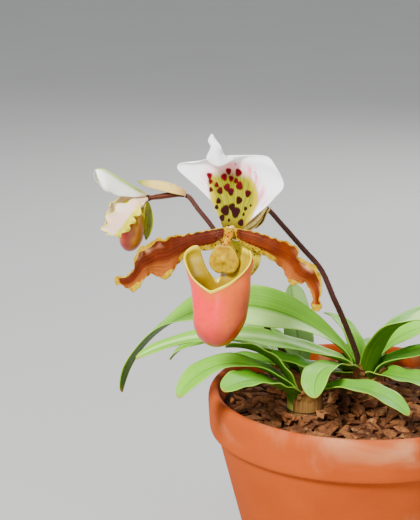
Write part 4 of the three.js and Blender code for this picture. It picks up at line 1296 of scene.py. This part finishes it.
# %% Measurements of the dorsal sepal
dorsal_one = [
    [[-4, 1, -0.8], [0.6, 1, -1], [5.2, 0.8, -0.9]],
    [[-4.8, 3.7, -1.1], [0.6, 3.7, -1.4], [6.4, 3.1, -1.2]],
    [[-7.3, 8, -1.8], [1, 8, -2.6], [9.4, 6.6, -1.6]],
    [[-10.5, 13.5, -3], [1, 14.5, -4], [15.6, 12.4, -3.3]],
    [[-16.5, 18.2, -4], [0.5, 20, -4.8], [20, 17.2, -4]],
    [[-22.6, 23.2, -4], [0, 25.5, -5], [23.6, 21.8, -4.5]],
    [[-27.3, 27.7, -3], [0, 30, -4.5], [22.6, 26.8, -4.4]],
    [[-25.5, 30.4, -2.6], [-0.5, 33, -3.4], [19.9, 31.6, -4]],
    [[-19, 31, -2], [-0.8, 34.4, -2.4], [16, 35.6, -4]],
    [[-13.2, 33, -0.6], [-1.2, 35.4, -0.4], [9.5, 35.9, -3.4]],
    [[-11.3, 33.6, 1.4], [-1.8, 35.6, 3.2], [3, 34.4, -1.2]],
    [[-10.3, 34, 3.8], [-3.5, 32, 7], [0.8, 34.6, 2.6]],
    [[-9.3, 36, 6], [-4.4, 36, 8.8], [-1.6, 37.6, 6]],
    [[-6.9, 40.8, 8], [-4.6, 40.6, 9.6], [-2, 41.2, 7.8]],
    [[-7.7, 43.6, 8.6], [-6, 44.2, 9.4], [-4.4, 44.2, 8.7]],
    [[-6.4, 46.4, 9], [-5.9, 46.7, 9.1], [-5.3, 46.2, 9]],
]
dorsal_spots = [
    (-12, 25.1, 0.77), (-11.5, 22.4, 0.62), (-11.2, 18.6, 0.57), (-8.5, 20.9, 0.62),
    (-6.8, 18.4, 0.81), (-4.9, 24.9, 0.86), (-2.7, 27.8, 0.77), (-1.5, 24.4, 0.67),
    (2.1, 27.4, 0.91), (0.9, 23.4, 0.62), (2.6, 21.2, 0.96), (-3.4, 20.1, 0.91),
    (-1.5, 18.3, 0.86), (6.8, 18, 0.81), (2.7, 14.6, 0.86), (-7.1, 13.7, 0.67),
    (-7.8, 10.9, 0.53), (-3.6, 9.7, 1.15), (-0.5, 11.4, 0.86), (1.5, 9.2, 1.2),
    (6.1, 11.1, 0.48), (8.5, 12.7, 0.31), (5.4, 8.5, 0.38), (4.4, 4.7, 0.77),
    (-4.8, 6.3, 0.72), (-5.3, 3.5, 0.48), (-1.4, 2.6, 0.33), (-1.4, 5.4, 0.38),
]
faint_spots = [(10.1, 27.9, 0.31), (10.5, 26.3, 0.26), (0.9, 31.5, 0.33)]
core_up = [0, 4, 9.3, 13.9, 18, 21.5, 25, 28]
core_left = [-6, -7, -8.9, -10.5, -11.6, -12.4, -12, -9]
core_right = [7, 7.9, 9.9, 11.6, 11.4, 10.2, 8, 5.5]
print(len(dorsal_spots), "spots on the dorsal sepal")


# %% [markdown]
# The heart, the flush and the spots have soft borders, so each is a mark from 0 to 1 at every point.
# An image could hold them too. The mesh has enough rows and columns for a spot to keep a clean edge
# without one, and the marks bend with the sepal.


# %% Build the dorsal sepal
def spot_cover(right, up, spots, grown):
    """How much of the nearest spot covers each point, with slightly uneven edges.

    grown widens every spot, because each was measured over its darkest part only.
    """
    cover = np.zeros_like(right)
    fan_out = unit(np.stack([right * 0.6, up + 14], -1))
    for k, (x, y, radius) in enumerate(spots):
        dx, dy = right - x, up - y
        length = dx * fan_out[..., 0] + dy * fan_out[..., 1]
        width = dx * fan_out[..., 1] - dy * fan_out[..., 0]
        uneven = 1 + 0.1 * np.sin(3 * np.arctan2(dy, dx) + k)
        reach = np.hypot(length / 1.2, width) / (radius * uneven * grown)
        cover = np.maximum(cover, 1 - ease((reach - 0.82) / 0.3))
    return cover


def dorsal_piece():
    grid, s, u = flipped(sepal_grid(dorsal_one, 210, 160, low_end=1.5, middle=1.35))
    right, up = grid[..., 0], grid[..., 1]
    wave = 0.35 * np.abs(u) ** 4 * np.sin(2 * math.pi * s * 7 + np.sign(u))
    grid = grid + np.stack([0 * wave, 0 * wave, wave], -1)
    hood = ease((s - 0.5) / 0.08)
    left_side, right_side = (np.interp(up, core_up, side) for side in (core_left, core_right))
    inward = np.minimum(right - left_side, right_side - right)
    heart = ease((inward + 1.6) / 2) * ease((31.5 - up - 0.1 * np.abs(right)) / 7) * (1 - hood)
    beside = bell(inward, -2, 2.6) * ease((up - 9) / 6) * ease((33 - up) / 4)
    beside = beside * np.where(right > 0, 1, 0.5)
    above = bell(right, -2, 8) * ease((up - 22) / 5) * ease((34 - up) / 3)
    marks = {
        "heart": heart,
        "flush": np.clip(beside, 0, 1) * (1 - hood),
        "rose": np.clip(0.75 * above, 0, 1) * (1 - hood),
        "low": 0.85 * ease((9 - up) / 7),
        "rim_glow": 0.8 * bell(inward, 0.6, 1.3) * ease((up - 1) / 5),
        "height": ease((up - 15) / 11),
        "spot": np.maximum(
            spot_cover(right, up, dorsal_spots, 1.85), 0.45 * spot_cover(right, up, faint_spots, 2),
        )
        * (1 - hood),
    }
    sheet = grid, s, u
    sepal_piece("dorsal_flag_1", "dorsal_sepal", "dorsal_sepal_1", flower_one, sheet, marks, dorsal_skin)


dorsal_piece()

# %% [markdown]
# ## The petals
#
# A petal is measured every few millimetres: its upper edge, its middle and its lower edge. The big
# waves of the margin are in those measurements. Finer crinkles are added to them here, growing
# towards the margin, as they do where the edge of a petal grows faster than its middle.

# %% Measurements of the petals
petal_left = [
    [[-1.1, 2.3, -0.3], [-1.1, -0.8, -0.1], [-1.1, -3.4, -0.1]],
    [[-3.4, 2.2, 0], [-3.4, -0.8, 0.1], [-3.4, -3.6, 0.1]],
    [[-8, 1.2, 0], [-8, -3, 1.2], [-8, -8, 0.8]],
    [[-13, 0, 0], [-13.5, -4.5, 1.2], [-14.5, -9.8, 0.8]],
    [[-18, -1.2, 0.5], [-18.5, -6, 1.5], [-19.5, -12, 1]],
    [[-23.5, -2.6, 1], [-23.5, -8.5, 2], [-23.5, -14.5, 0.8]],
    [[-27.5, -2.8, 1.8], [-27.5, -11, 2.2], [-27, -19, 2]],
    [[-31.5, -4.8, 3.2], [-31, -13, 2.5], [-29.5, -23.5, 3.8]],
    [[-35.8, -4.8, 1.2], [-35.5, -14, 2.4], [-34.5, -23.8, 2.6]],
    [[-40, -8, 3.2], [-39, -16, 2.6], [-38.5, -22.8, 1.4]],
    [[-44.5, -10, 1.2], [-42.5, -18, 2.8], [-41, -24, 3.2]],
    [[-47, -15.5, 3.2], [-45, -21.5, 3], [-44, -28.8, 4.6]],
    [[-48, -21, 1.2], [-48, -25.5, 3], [-47.5, -31.8, 3.8]],
    [[-52.5, -24.6, 3.2], [-51.5, -27.5, 3.4], [-51.5, -30.5, 2]],
    [[-56, -24.6, 4], [-55, -27, 4], [-54, -28.8, 3.6]],
    [[-57, -26, 4], [-56.8, -27, 4], [-56.2, -29.4, 4]],
]
petal_right = [
    [[1.2, 2.4, -0.3], [1.2, -0.7, -0.1], [1.2, -3.2, -0.1]],
    [[3.5, 2.3, 0], [3.5, -0.7, 0.1], [3.5, -3.4, 0.1]],
    [[8, 2, 0], [8, -1.8, 1], [8.5, -6.2, 0.8]],
    [[13.5, 1.2, 0], [13, -3, 1.2], [13, -7.8, 1]],
    [[18, 0.3, 0.6], [17.5, -4.5, 1.5], [17, -9.5, 1]],
    [[22.4, -0.8, 1], [21.8, -6.2, 1.5], [20.7, -11.4, 1]],
    [[28, -1.4, 2.8], [26.8, -8, 1.8], [25.3, -14.5, 1.2]],
    [[32.8, -4.6, 1.2], [30.5, -11, 1.8], [27.8, -18, 2.8]],
    [[33, -8, 2.8], [32, -14, 2], [30.2, -20.6, 4]],
    [[37, -10, 1.2], [34.5, -16, 1.8], [33.8, -20.8, 2.6]],
    [[41.2, -11.6, 3], [37.8, -17.5, 1.8], [35.8, -20, 0.8]],
    [[43.4, -16.5, 1], [40, -20.5, 1.8], [37.5, -21.8, 1.2]],
    [[44.5, -22.5, 2.4], [41.8, -23.5, 2.2], [39.2, -24, 2.2]],
    [[43.8, -27, 3.4], [42.2, -27.2, 2.6], [40.4, -27, 3]],
    [[44.8, -30, 2.2], [42.2, -30, 3], [39.6, -29.6, 3.4]],
    [[43.6, -32.2, 3], [42.2, -32.6, 3.2], [40.6, -32, 3]],
]
print("petals measured at", len(petal_left), "and", len(petal_right), "stations")


# %% [markdown]
# A cloth simulation could ruffle a petal, but it would be hard to keep the ruffles where they were
# measured. Here a wave runs along the margin, and its phase drifts a little by chance, so the
# crinkles are never quite even. Small dark dots lie near the middle of the flower.


# %% Build the petals
def scattered_dots(grid, s, u, along_range, across_range, count, radius, seed):
    """Cover of small dots that lie at random places of a sheet."""
    stream = np.random.default_rng(seed)
    cover = np.zeros(s.shape)
    for _ in range(count):
        wanted_s = stream.uniform(*along_range)
        wanted_u = stream.uniform(*across_range)
        nearest = np.unravel_index(np.argmin((s - wanted_s) ** 2 + ((u - wanted_u) / 3) ** 2), s.shape)
        away = np.linalg.norm(grid - grid[nearest], axis=-1) / (radius * stream.uniform(0.6, 1.3))
        cover = np.maximum(cover, 1 - ease((away - 0.7) / 0.6))
    return cover


def petal_piece(name, stations, node, turned_over, seed, tone, lobes):
    grid, s, u = sepal_grid(stations, 270, 48)
    stream = np.random.default_rng(seed)
    walked = np.concatenate([[0], np.cumsum(np.linalg.norm(np.diff(grid[:, 24], axis=0), axis=1))])
    drift = np.cumsum(stream.normal(0, 0.05, len(walked)))
    phase = (2 * math.pi * walked / 3 + drift)[:, None] + 1.3 * np.sign(u)
    free = ease((s - 0.08) / 0.2) * (1 - 0.6 * ease((s - 0.9) / 0.1))
    crinkle = 0.5 * free * np.abs(u) ** 5 * np.sin(phase)
    notch = 0.3 * free * np.abs(u) ** 4 * np.sin(phase * 0.6 + 1)
    ribs = 0.03 * np.cos(math.pi * 9 * u) * (1 - np.abs(u) ** 3) * ease(s / 0.1)
    grid = grid + np.stack([0 * notch, -np.sign(u) * notch, crinkle + ribs], -1)
    lobe = sum(share * bell(s, at, reach) for at, reach, share in lobes)
    upper_width = 0.15 + 0.17 * ease((s - 0.35) / 0.35) + 0.03 * np.sin(phase * 0.7)
    lower_width = 0.08 + 0.06 * ease((s - 0.55) / 0.2) + lobe + 0.02 * np.sin(phase * 0.7)
    strip = 0.8 * ease((u - 0.3) / 0.35) * ease((0.42 - s) / 0.12)
    tip = ease((s - 0.89) / 0.05) * (0.55 + 0.45 * np.abs(u))
    root = 0.75 * ease((0.085 - s) / 0.04)
    margin = np.maximum(ease((-u - 1 + upper_width) / 0.12), ease((u - 1 + lower_width) / 0.12))
    marks = {
        "tone": np.full(s.shape, tone),
        "margin": np.maximum.reduce([margin, strip, tip, root]),
        "blush": 0.85 * ease((u - 0.08) / 0.5) * ease((s - 0.3) / 0.15) * ease((0.97 - s) / 0.06),
        # Painted highlight near the upper margin, in the outer half of the petal.
        "painted_highlight": 0.55 * bell(u, -0.66, 0.15) * ease((s - 0.4) / 0.15) * ease((0.85 - s) / 0.1),
        "dots": np.maximum.reduce([
            scattered_dots(grid, s, u, (0.02, 0.26), (0.3, 0.95), 26, 0.3, seed),
            scattered_dots(grid, s, u, (0.01, 0.12), (-0.95, 0.6), 16, 0.27, seed + 1),
            scattered_dots(grid, s, u, (0.1, 0.4), (-0.9, -0.6), 5, 0.3, seed + 2),
        ]),
    }
    thickness = 0.3 + 0.35 * (1 - np.abs(u))
    if turned_over:
        grid, s, u = flipped((grid, s, u))
        marks = {mark: values[:, ::-1] for mark, values in marks.items()}
    flower_sheet(name, "petal", node, flower_one, (grid, s, u), thickness, marks, petal_skin)


left_lobes = [(0.46, 0.045, 0.3), (0.78, 0.06, 0.4)]
right_lobes = [(0.55, 0.05, 0.28), (0.75, 0.1, 0.1)]
petal_piece("ruffled_petal_left", petal_left, "petal_1_left", False, 31, 0.0, left_lobes)
petal_piece("ruffled_petal_right", petal_right, "petal_1_right", True, 41, 0.3, right_lobes)

# %% [markdown]
# ## The lower sepals
#
# The two lower sepals are joined into one, the synsepal, which stands behind the pouch. It is pale
# yellow-green, with a scatter of small dark dots.

# %% Measure and build the synsepal
synsepal_one = [
    [[-2.5, -3.9, -1], [0, -3.9, -1.4], [2.5, -3.9, -1]],
    [[-6, -7, -2.4], [1.5, -7.5, -4], [12, -6.6, -2.6]],
    [[-8, -12, -3], [2.5, -13, -5], [13.6, -10.5, -3.2]],
    [[-7, -17.5, -3.4], [2.5, -18, -5.4], [12.6, -15.5, -3.8]],
    [[-3, -22, -4], [2.5, -22.5, -5.6], [9, -20.5, -4.6]],
    [[1, -24.4, -4.6], [2.5, -24.8, -5], [4, -24.4, -4.8]],
]


def synsepal_piece(name, stations, node, flower, finish, dots):
    sheet = sepal_grid(stations, 90, 70)
    marks = {"dots": scattered_dots(*sheet, (0.12, 0.75), (-0.85, 0.9), dots, 0.34, 61)}
    sepal_piece(name, "synsepal", node, flower, sheet, marks, finish)


synsepal_piece("lower_sepals_1", synsepal_one, "synsepal_1", flower_one, synsepal_skin, 26)

# %% [markdown]
# ## The pouch
#
# The pouch is the flower's lip: a deep slipper whose rim dips at the front and rises to an ear on
# each side. The height of the rim is measured every 20 degrees from the front to the back. The skin
# is doubled inwards for thickness, and the rim is rolled out a little, which catches the light.

# %% The pouch's measurements
pouch_bottom = -49
pouch_top = -3
pouch_cap = 15
pouch_wall = 0.8
ear_height = -5.4
rim_one = [-20.9, -18.8, -16.2, -12.3, -7.2, -4.8, -7.6, -18.5, -20, -4]
rim_two = [-19.5, -19, -17, -14, -11, -10, -12, -16, -17, -4]
print("pouch measured over", pouch_top - pouch_bottom, "mm of height")


# %% [markdown]
# A pouch could be sculpted from a ball. Here a formula gives the point of the skin for each turn round
# the pouch and each step up it, which keeps the measured rim. The rings are then closed into an outer
# skin, a rim, an inner skin and a floor.


# %% Build the pouch
def pouch_skin_points(rim_heights, back_lift, turn, v):
    """A point of the pouch's skin: turn goes round it and v from its bottom to its rim.

    back_lift raises the rim at the back right, where the open flower shows its inner wall.
    """
    aside = np.abs(turn) / math.pi
    steeper = 1 + 0.18 * (turn < -0.08) * (1 - ease((np.abs(turn) - 0.8) / 0.8))
    notch_away = np.clip(np.abs(turn + 0.08 * (1 - aside)) * steeper / math.pi, 0, 1)
    rim = through([[height] for height in rim_heights], notch_away.ravel()).reshape(aside.shape)
    raised = rim + back_lift * bell(turn, 2.45, 0.38)
    rim = np.maximum(rim, np.minimum(raised, ear_height))
    height = pouch_bottom + (rim - pouch_bottom) * (1 - np.cos(v * math.pi / 2)) ** 0.8
    cap = np.sqrt(1 - (1 - np.minimum(1, (height - pouch_bottom) / pouch_cap)) ** 2)
    behind = ease((aside - 0.47) / 0.22)
    flare = 4.1 * np.clip((height + 42) / 32, 0, 1) ** 1.5
    tucked = 2.6 * ease((height + 9) / 6)
    width = (12.1 + flare - tucked) * (1 - 0.17 * behind * ease((height + 26) / 8))
    claw = 2.9 * ease((height + 14) / 11) * np.maximum(0, -np.cos(turn)) ** 6
    shift = 1.2 * ease((-14 - height) / 9) - 1.2 * ease((-32 - height) / 14)
    middle = 14.5 + 4.5 * (pouch_top - height) / (pouch_top - pouch_bottom)
    right = shift + cap * width * np.sin(turn)
    return np.stack([right, height, middle + cap * (11 + claw) * np.cos(turn)], -1)


def pouch_piece(name, rim_heights, back_lift, node, flower, finish, scale, rings, round_count):
    v = np.linspace(0, 1, rings + 1)[1:, None] * np.ones((1, round_count))
    turn = np.linspace(-math.pi, math.pi, round_count, endpoint=False)[None, :] * np.ones((rings, 1))
    skin = pouch_skin_points(rim_heights, back_lift, turn, v)
    wrapped = np.concatenate([skin[:, -1:], skin, skin[:, :1]], axis=1)
    round_way = np.gradient(wrapped, axis=1)[:, 1:-1]
    out = unit(np.cross(round_way, np.gradient(skin, axis=0)))
    height = skin[..., 1]
    steps = np.linalg.norm(np.diff(skin, axis=0), axis=-1)
    to_rim = np.concatenate([np.cumsum(steps[::-1], axis=0)[::-1], np.zeros((1, round_count))])
    roll = 0.75 * bell(to_rim, 0, 1.1)
    dimple = 0.2 * np.sin(6 * turn) * bell(height, -30, 9)
    dimple = dimple - 0.4 * bell(turn, -0.08, 0.12) * bell(to_rim, 0, 4)
    outer = (skin + out * (roll + dimple)[..., None]) * scale
    inner = outer - out * pouch_wall
    edge = (outer[-1] + inner[-1]) / 2 + [0, 0.35 * scale, 0]
    floor = np.array([[0, pouch_bottom, skin[0, :, 2].mean()]]) * scale
    count = rings * round_count
    skins = [outer.reshape(-1, 3), edge, inner[::-1].reshape(-1, 3), floor, floor + [0, pouch_wall, 0]]
    points = np.concatenate(skins)
    faces = ring_faces(2 * rings + 1, round_count, closed_ends=False)
    faces += fan_faces(0, round_count, len(points) - 2, True)
    faces += fan_faces(2 * count, round_count, len(points) - 1, False)
    side = np.sin(turn)
    share_up = np.clip((height - pouch_bottom) / (pouch_top - pouch_bottom), 0, 1)

    def both(values, at_edge, at_floor):
        return np.concatenate([values.ravel(), at_edge, values[::-1].ravel(), [at_floor, at_floor]])

    inside = np.concatenate([np.zeros(count), np.full(round_count, 0.5), np.ones(count), [0, 1]])
    marks = {
        "turn": both(side, side[-1], 0.0),
        "back": both((1 - np.cos(turn)) / 2, (1 - np.cos(turn[-1])) / 2, 0.0),
        "height": both(share_up, share_up[-1], 0.0),
        "rim": both(to_rim * scale, np.zeros(round_count), 40.0),
        "inside": inside,
    }
    pouch = mesh_piece(name, in_flower(points, flower), faces, marks, finish)
    on_plant(pouch, "pouch", node)


pouch_piece("slipper_1", rim_one, 14, "pouch_1", flower_one, pouch_skin, 1.0, 100, 160)

# %% [markdown]
# ## The column and its shield
#
# Above the pouch's mouth the column bends forward and ends in the shield: a domed yellow heart with
# a small boss in the middle and a groove below it.

# %% Build a column with its shield
shield_middle = [-0.3, -10.8, 8.4]
shield_half_width = 7.3
shield_half_height = 6.6
shield_half_thickness = 0.45
shield_dome = 0.9
shield_boss = 0.7
shield_hollow = 0.5
shield_outline = [
    1, 0.96, 1, 1.1, 1.02, 1.1, 0.96, 0.91, 0.95, 1.02, 1.05, 1.05, 0.93, 1.05, 1.08, 1.04,
]
column_route = [[0, -0.4, 0.1], [0, -0.4, 1.2], [0, -1.8, 3.8], [-0.1, -5, 6.4], [-0.3, -8.2, 7.5]]


def column_piece(name, node, flower, scale):
    round_count = 96
    rings = 28
    angle = np.linspace(0, 2 * math.pi, round_count, endpoint=False)[None, :]
    r = np.linspace(0, 1, rings + 1)[1:, None]
    wrapped = [[value] for value in shield_outline[-2:] + shield_outline + shield_outline[:3]]
    place = (angle[0] / (2 * math.pi) * len(shield_outline) + 2) / (len(wrapped) - 1)
    out = through(wrapped, place)[:, 0]
    x = shield_half_width * r * out * np.cos(angle)
    y = shield_half_height * r * out * np.sin(angle)
    dome = shield_dome * (1 - r * r) + shield_boss * bell(r, 0, 0.2) + 0.25 * bell(r, 0.88, 0.1)
    groove = 0.45 * bell(x, 0, 0.7) * ease((-y - 1.4) / 1.6)
    front = np.stack([x, y, shield_half_thickness + dome - groove], -1)
    back = np.stack([x, y, -shield_half_thickness + shield_hollow * (1 - r * r) + 0 * x], -1)
    front_tip = [0, 0, shield_half_thickness + shield_dome + shield_boss]
    tips = np.array([front_tip, [0, 0, shield_hollow - shield_half_thickness]])
    points = np.concatenate([front.reshape(-1, 3), back[::-1].reshape(-1, 3), tips]) + shield_middle
    faces = [face[::-1] for face in ring_faces(2 * rings, round_count, closed_ends=False)]
    faces += fan_faces(0, round_count, len(points) - 2, False)
    faces += fan_faces((2 * rings - 1) * round_count, round_count, len(points) - 1, True)
    stalk_sides = 24
    stalk, _, _ = tube_rings(column_route, lambda t, a: np.full(len(a), 2.3 - 0.3 * t), stalk_sides, 24)
    faces += ring_faces(len(stalk), stalk_sides, len(points))
    stalk_share = np.concatenate([np.zeros(len(points)), np.ones(len(stalk) * stalk_sides)])
    points = np.concatenate([points, stalk.reshape(-1, 3)]) * scale
    column = mesh_piece(name, in_flower(points, flower), faces, {"stalk": stalk_share}, shield_skin)
    on_plant(column, "shield", node)


column_piece("shield_1", "column_1", flower_one, 1.0)

# %% [markdown]
# ## The half-open flower
#
# The second flower is younger and about half the size. Its white dorsal sepal, green along the
# middle, still roofs over the folded petals, and its pouch is crimson on one side and gold on the
# other. It turns further to the left.

# %% Measurements of the young flower
dorsal_two = [
    [[1.4, 1.9, 0.3], [0, 2.3, 0.3], [-1.4, 1.9, 0.3]],
    [[3.5, 1.9, 7], [0, 5.5, 6], [-3.5, 1.9, 7]],
    [[5, 3, 13.5], [0, 9, 11], [-5, 3, 13.5]],
    [[6, 4.4, 20], [0, 13, 17], [-6, 4.4, 20]],
    [[6.5, 7.4, 24], [0, 16, 22], [-6.2, 8.4, 23.5]],
    [[6.2, 9, 26.6], [0, 17.3, 24.8], [-5.4, 10.4, 26]],
    [[3.5, 13, 28.4], [0, 17.4, 27], [-3.2, 13.6, 27.8]],
    [[0.6, 16.6, 28.4], [0, 17, 28.4], [-0.6, 16.6, 28.4]],
]
petal_two = [
    [[2.2, 0.7, 0.9], [2.4, 0, 0.8], [2.2, -0.8, 0.7]],
    [[3.6, 0.9, 6], [5, 0.2, 5.5], [6.4, -0.6, 4.6]],
    [[5.2, 0.8, 12.5], [7.8, -0.8, 10.5], [9.6, -3.8, 8.5]],
    [[6.2, -0.4, 19], [8.4, -4, 15], [9.9, -6.8, 11.5]],
    [[7.2, -3.4, 24], [8.8, -7.2, 18.8], [10, -9.4, 12.9]],
    [[8, -7.5, 27], [9, -10, 21.5], [9.8, -12, 15.2]],
    [[8.6, -11.5, 28.5], [9.4, -12.8, 24], [9.8, -15, 18.6]],
    [[9.4, -14, 27.5], [9.8, -14.6, 25], [10, -15.6, 22]],
]
synsepal_two = [
    [[1.4, -2, -0.4], [0, -2.1, -0.6], [-1.4, -2, -0.4]],
    [[5.2, -6.5, -0.4], [0, -7.5, -1.6], [-5.2, -6.5, -0.8]],
    [[6.4, -12, 0], [0, -13, -1.6], [-6.4, -12, -0.6]],
    [[4.8, -17.4, 0.6], [0, -18.5, -0.4], [-4.8, -17.4, 0]],
    [[0.8, -21.4, 1], [0, -21.8, 0.8], [-0.8, -21.4, 1]],
]


def young_petal_piece(name, node, mirror, seed):
    grid, s, u = sepal_grid(petal_two, 150, 36)
    free = ease((s - 0.1) / 0.25)
    phase = 2 * math.pi * s * 5.5 + 1.6 * np.sign(u) + seed
    crinkle = 0.6 * free * np.abs(u) ** 3 * np.sin(phase)
    grid = grid + np.stack([crinkle, 0.4 * crinkle, 0 * crinkle], -1)
    scallop = (0.9 + 0.5 * s) * free * ease((np.abs(u) - 0.4) / 0.6) * np.sin(phase * 0.9 + 1)
    grid = grid + unit(np.gradient(grid, axis=1)) * (np.sign(u) * scallop)[..., None]
    if mirror:
        grid = grid * [-1, 1, 1]
        grid[..., 2] = grid[..., 2] * (1 - 0.011 * grid[..., 2])
        grid, s, u = flipped((grid, s, u))
    low_lobe = np.maximum(0.85 * ease((u - 0.1) / 0.5), ease((s - 0.84) / 0.08) * np.abs(u)) * free
    marks = {
        "tone": np.full(s.shape, 0.4),
        "margin": np.maximum(ease((np.abs(u) - 0.86) / 0.12) * free, low_lobe),
        "blush": 0.8 * ease((s - 0.2) / 0.3),
        # Painted highlight over most of the young petal.
        "painted_highlight": 0.6 * ease((s - 0.2) / 0.3),
        "dots": scattered_dots(grid, s, u, (0.1, 0.3), (0.2, 0.8), 4, 0.3, seed),
    }
    flower_sheet(name, "petal", node, flower_two, (grid, s, u), 0.5, marks, young_petal_skin)


roof = sepal_grid(dorsal_two, 90, 60)
sepal_piece("dorsal_roof_2", "dorsal_sepal", "dorsal_sepal_2", flower_two, roof, {}, young_dorsal_skin)
young_petal_piece("folded_petal_near", "petal_2_near", False, 71)
young_petal_piece("folded_petal_far", "petal_2_far", True, 81)
synsepal_piece("lower_sepals_2", synsepal_two, "synsepal_2", flower_two, young_synsepal_skin, 12)
pouch_piece("slipper_2", rim_two, 0, "pouch_2", flower_two, young_pouch_skin, young_scale, 60, 96)
column_piece("shield_2", "column_2", flower_two, young_scale)

# %% [markdown]
# ## Hair at the flower's heart
#
# The petals of this flower carry short pinkish hair where they meet. It is made of the same spikes
# as the hair of the stalks, and stands forward on both sides of the column.


# %% Hair between the petals
def heart_hair():
    stream = np.random.default_rng(97)
    count = 260
    side = np.where(stream.random(count) < 0.5, -1, 1)
    right = side * stream.uniform(3.2, 9, count)
    up = stream.uniform(-3.5, 1.2, count) - 0.12 * np.abs(right)
    forward = np.full(count, 0.9)
    roots = in_flower(np.stack([right, up, forward], -1), flower_one)
    away = np.stack([0.5 * side, 0 * side + 0.2, np.ones(count)], -1) + stream.normal(0, 0.35, (count, 3))
    origin = in_flower(np.zeros((1, 3)), flower_one)
    directions = in_flower(away, flower_one) - origin
    hair_piece("heart_hair", roots, directions, stream.uniform(0.8, 1.8, count), "petal")


heart_hair()

# %% [markdown]
# ## The studio
#
# A plain pale floor that runs far enough back to fill the picture, and four soft lights: a strong
# one from the upper left, a small low one that puts the bright spot on the pouch, a broad one from
# the right and one from behind to lift the edges.


# %% Floor and lights
def studio():
    floor_mesh = bpy.data.meshes.new("floor")
    corners = [(-12, -4, 0), (12, -4, 0), (12, 20, 0), (-12, 20, 0)]
    floor_mesh.from_pydata(corners, [], [(0, 1, 2, 3)])
    f = Finish("floor", 0.85, specular=0.1)
    f.start(f.noise(3, 2), (0.40, 0.395, 0.385, 1), (0.43, 0.425, 0.415, 1))
    f.wear()
    floor_mesh.materials.append(f.material)
    floor = bpy.data.objects.new("floor", floor_mesh)
    bpy.context.scene.collection.objects.link(floor)
    lamps = {
        "key": ((-0.75, -1.0, 1.15), 0.42, 58),
        "front": ((-0.62, -1.1, 0.3), 0.12, 3.2),
        "fill": ((1.1, -0.9, 0.6), 0.9, 11),
        "back": ((0.5, 1.1, 1.0), 0.6, 18),
    }
    aim = Vector((-0.05, 0, 0.16))
    for name, (place, size, power) in lamps.items():
        lamp_data = bpy.data.lights.new(name, "AREA")
        lamp_data.shape = "DISK"
        lamp_data.size = size
        lamp_data.energy = power
        lamp = bpy.data.objects.new(name, lamp_data)
        lamp.location = place
        lamp.rotation_euler = (aim - Vector(place)).to_track_quat("-Z", "Y").to_euler()
        bpy.context.scene.collection.objects.link(lamp)
    world = bpy.data.worlds.new("soft_room")
    world.use_nodes = True
    world.node_tree.nodes["Background"].inputs["Color"].default_value = (0.95, 0.97, 1.0, 1)
    world.node_tree.nodes["Background"].inputs["Strength"].default_value = 0.75
    bpy.context.scene.world = world
    print("studio lit with", len(lamps), "lamps")


studio()
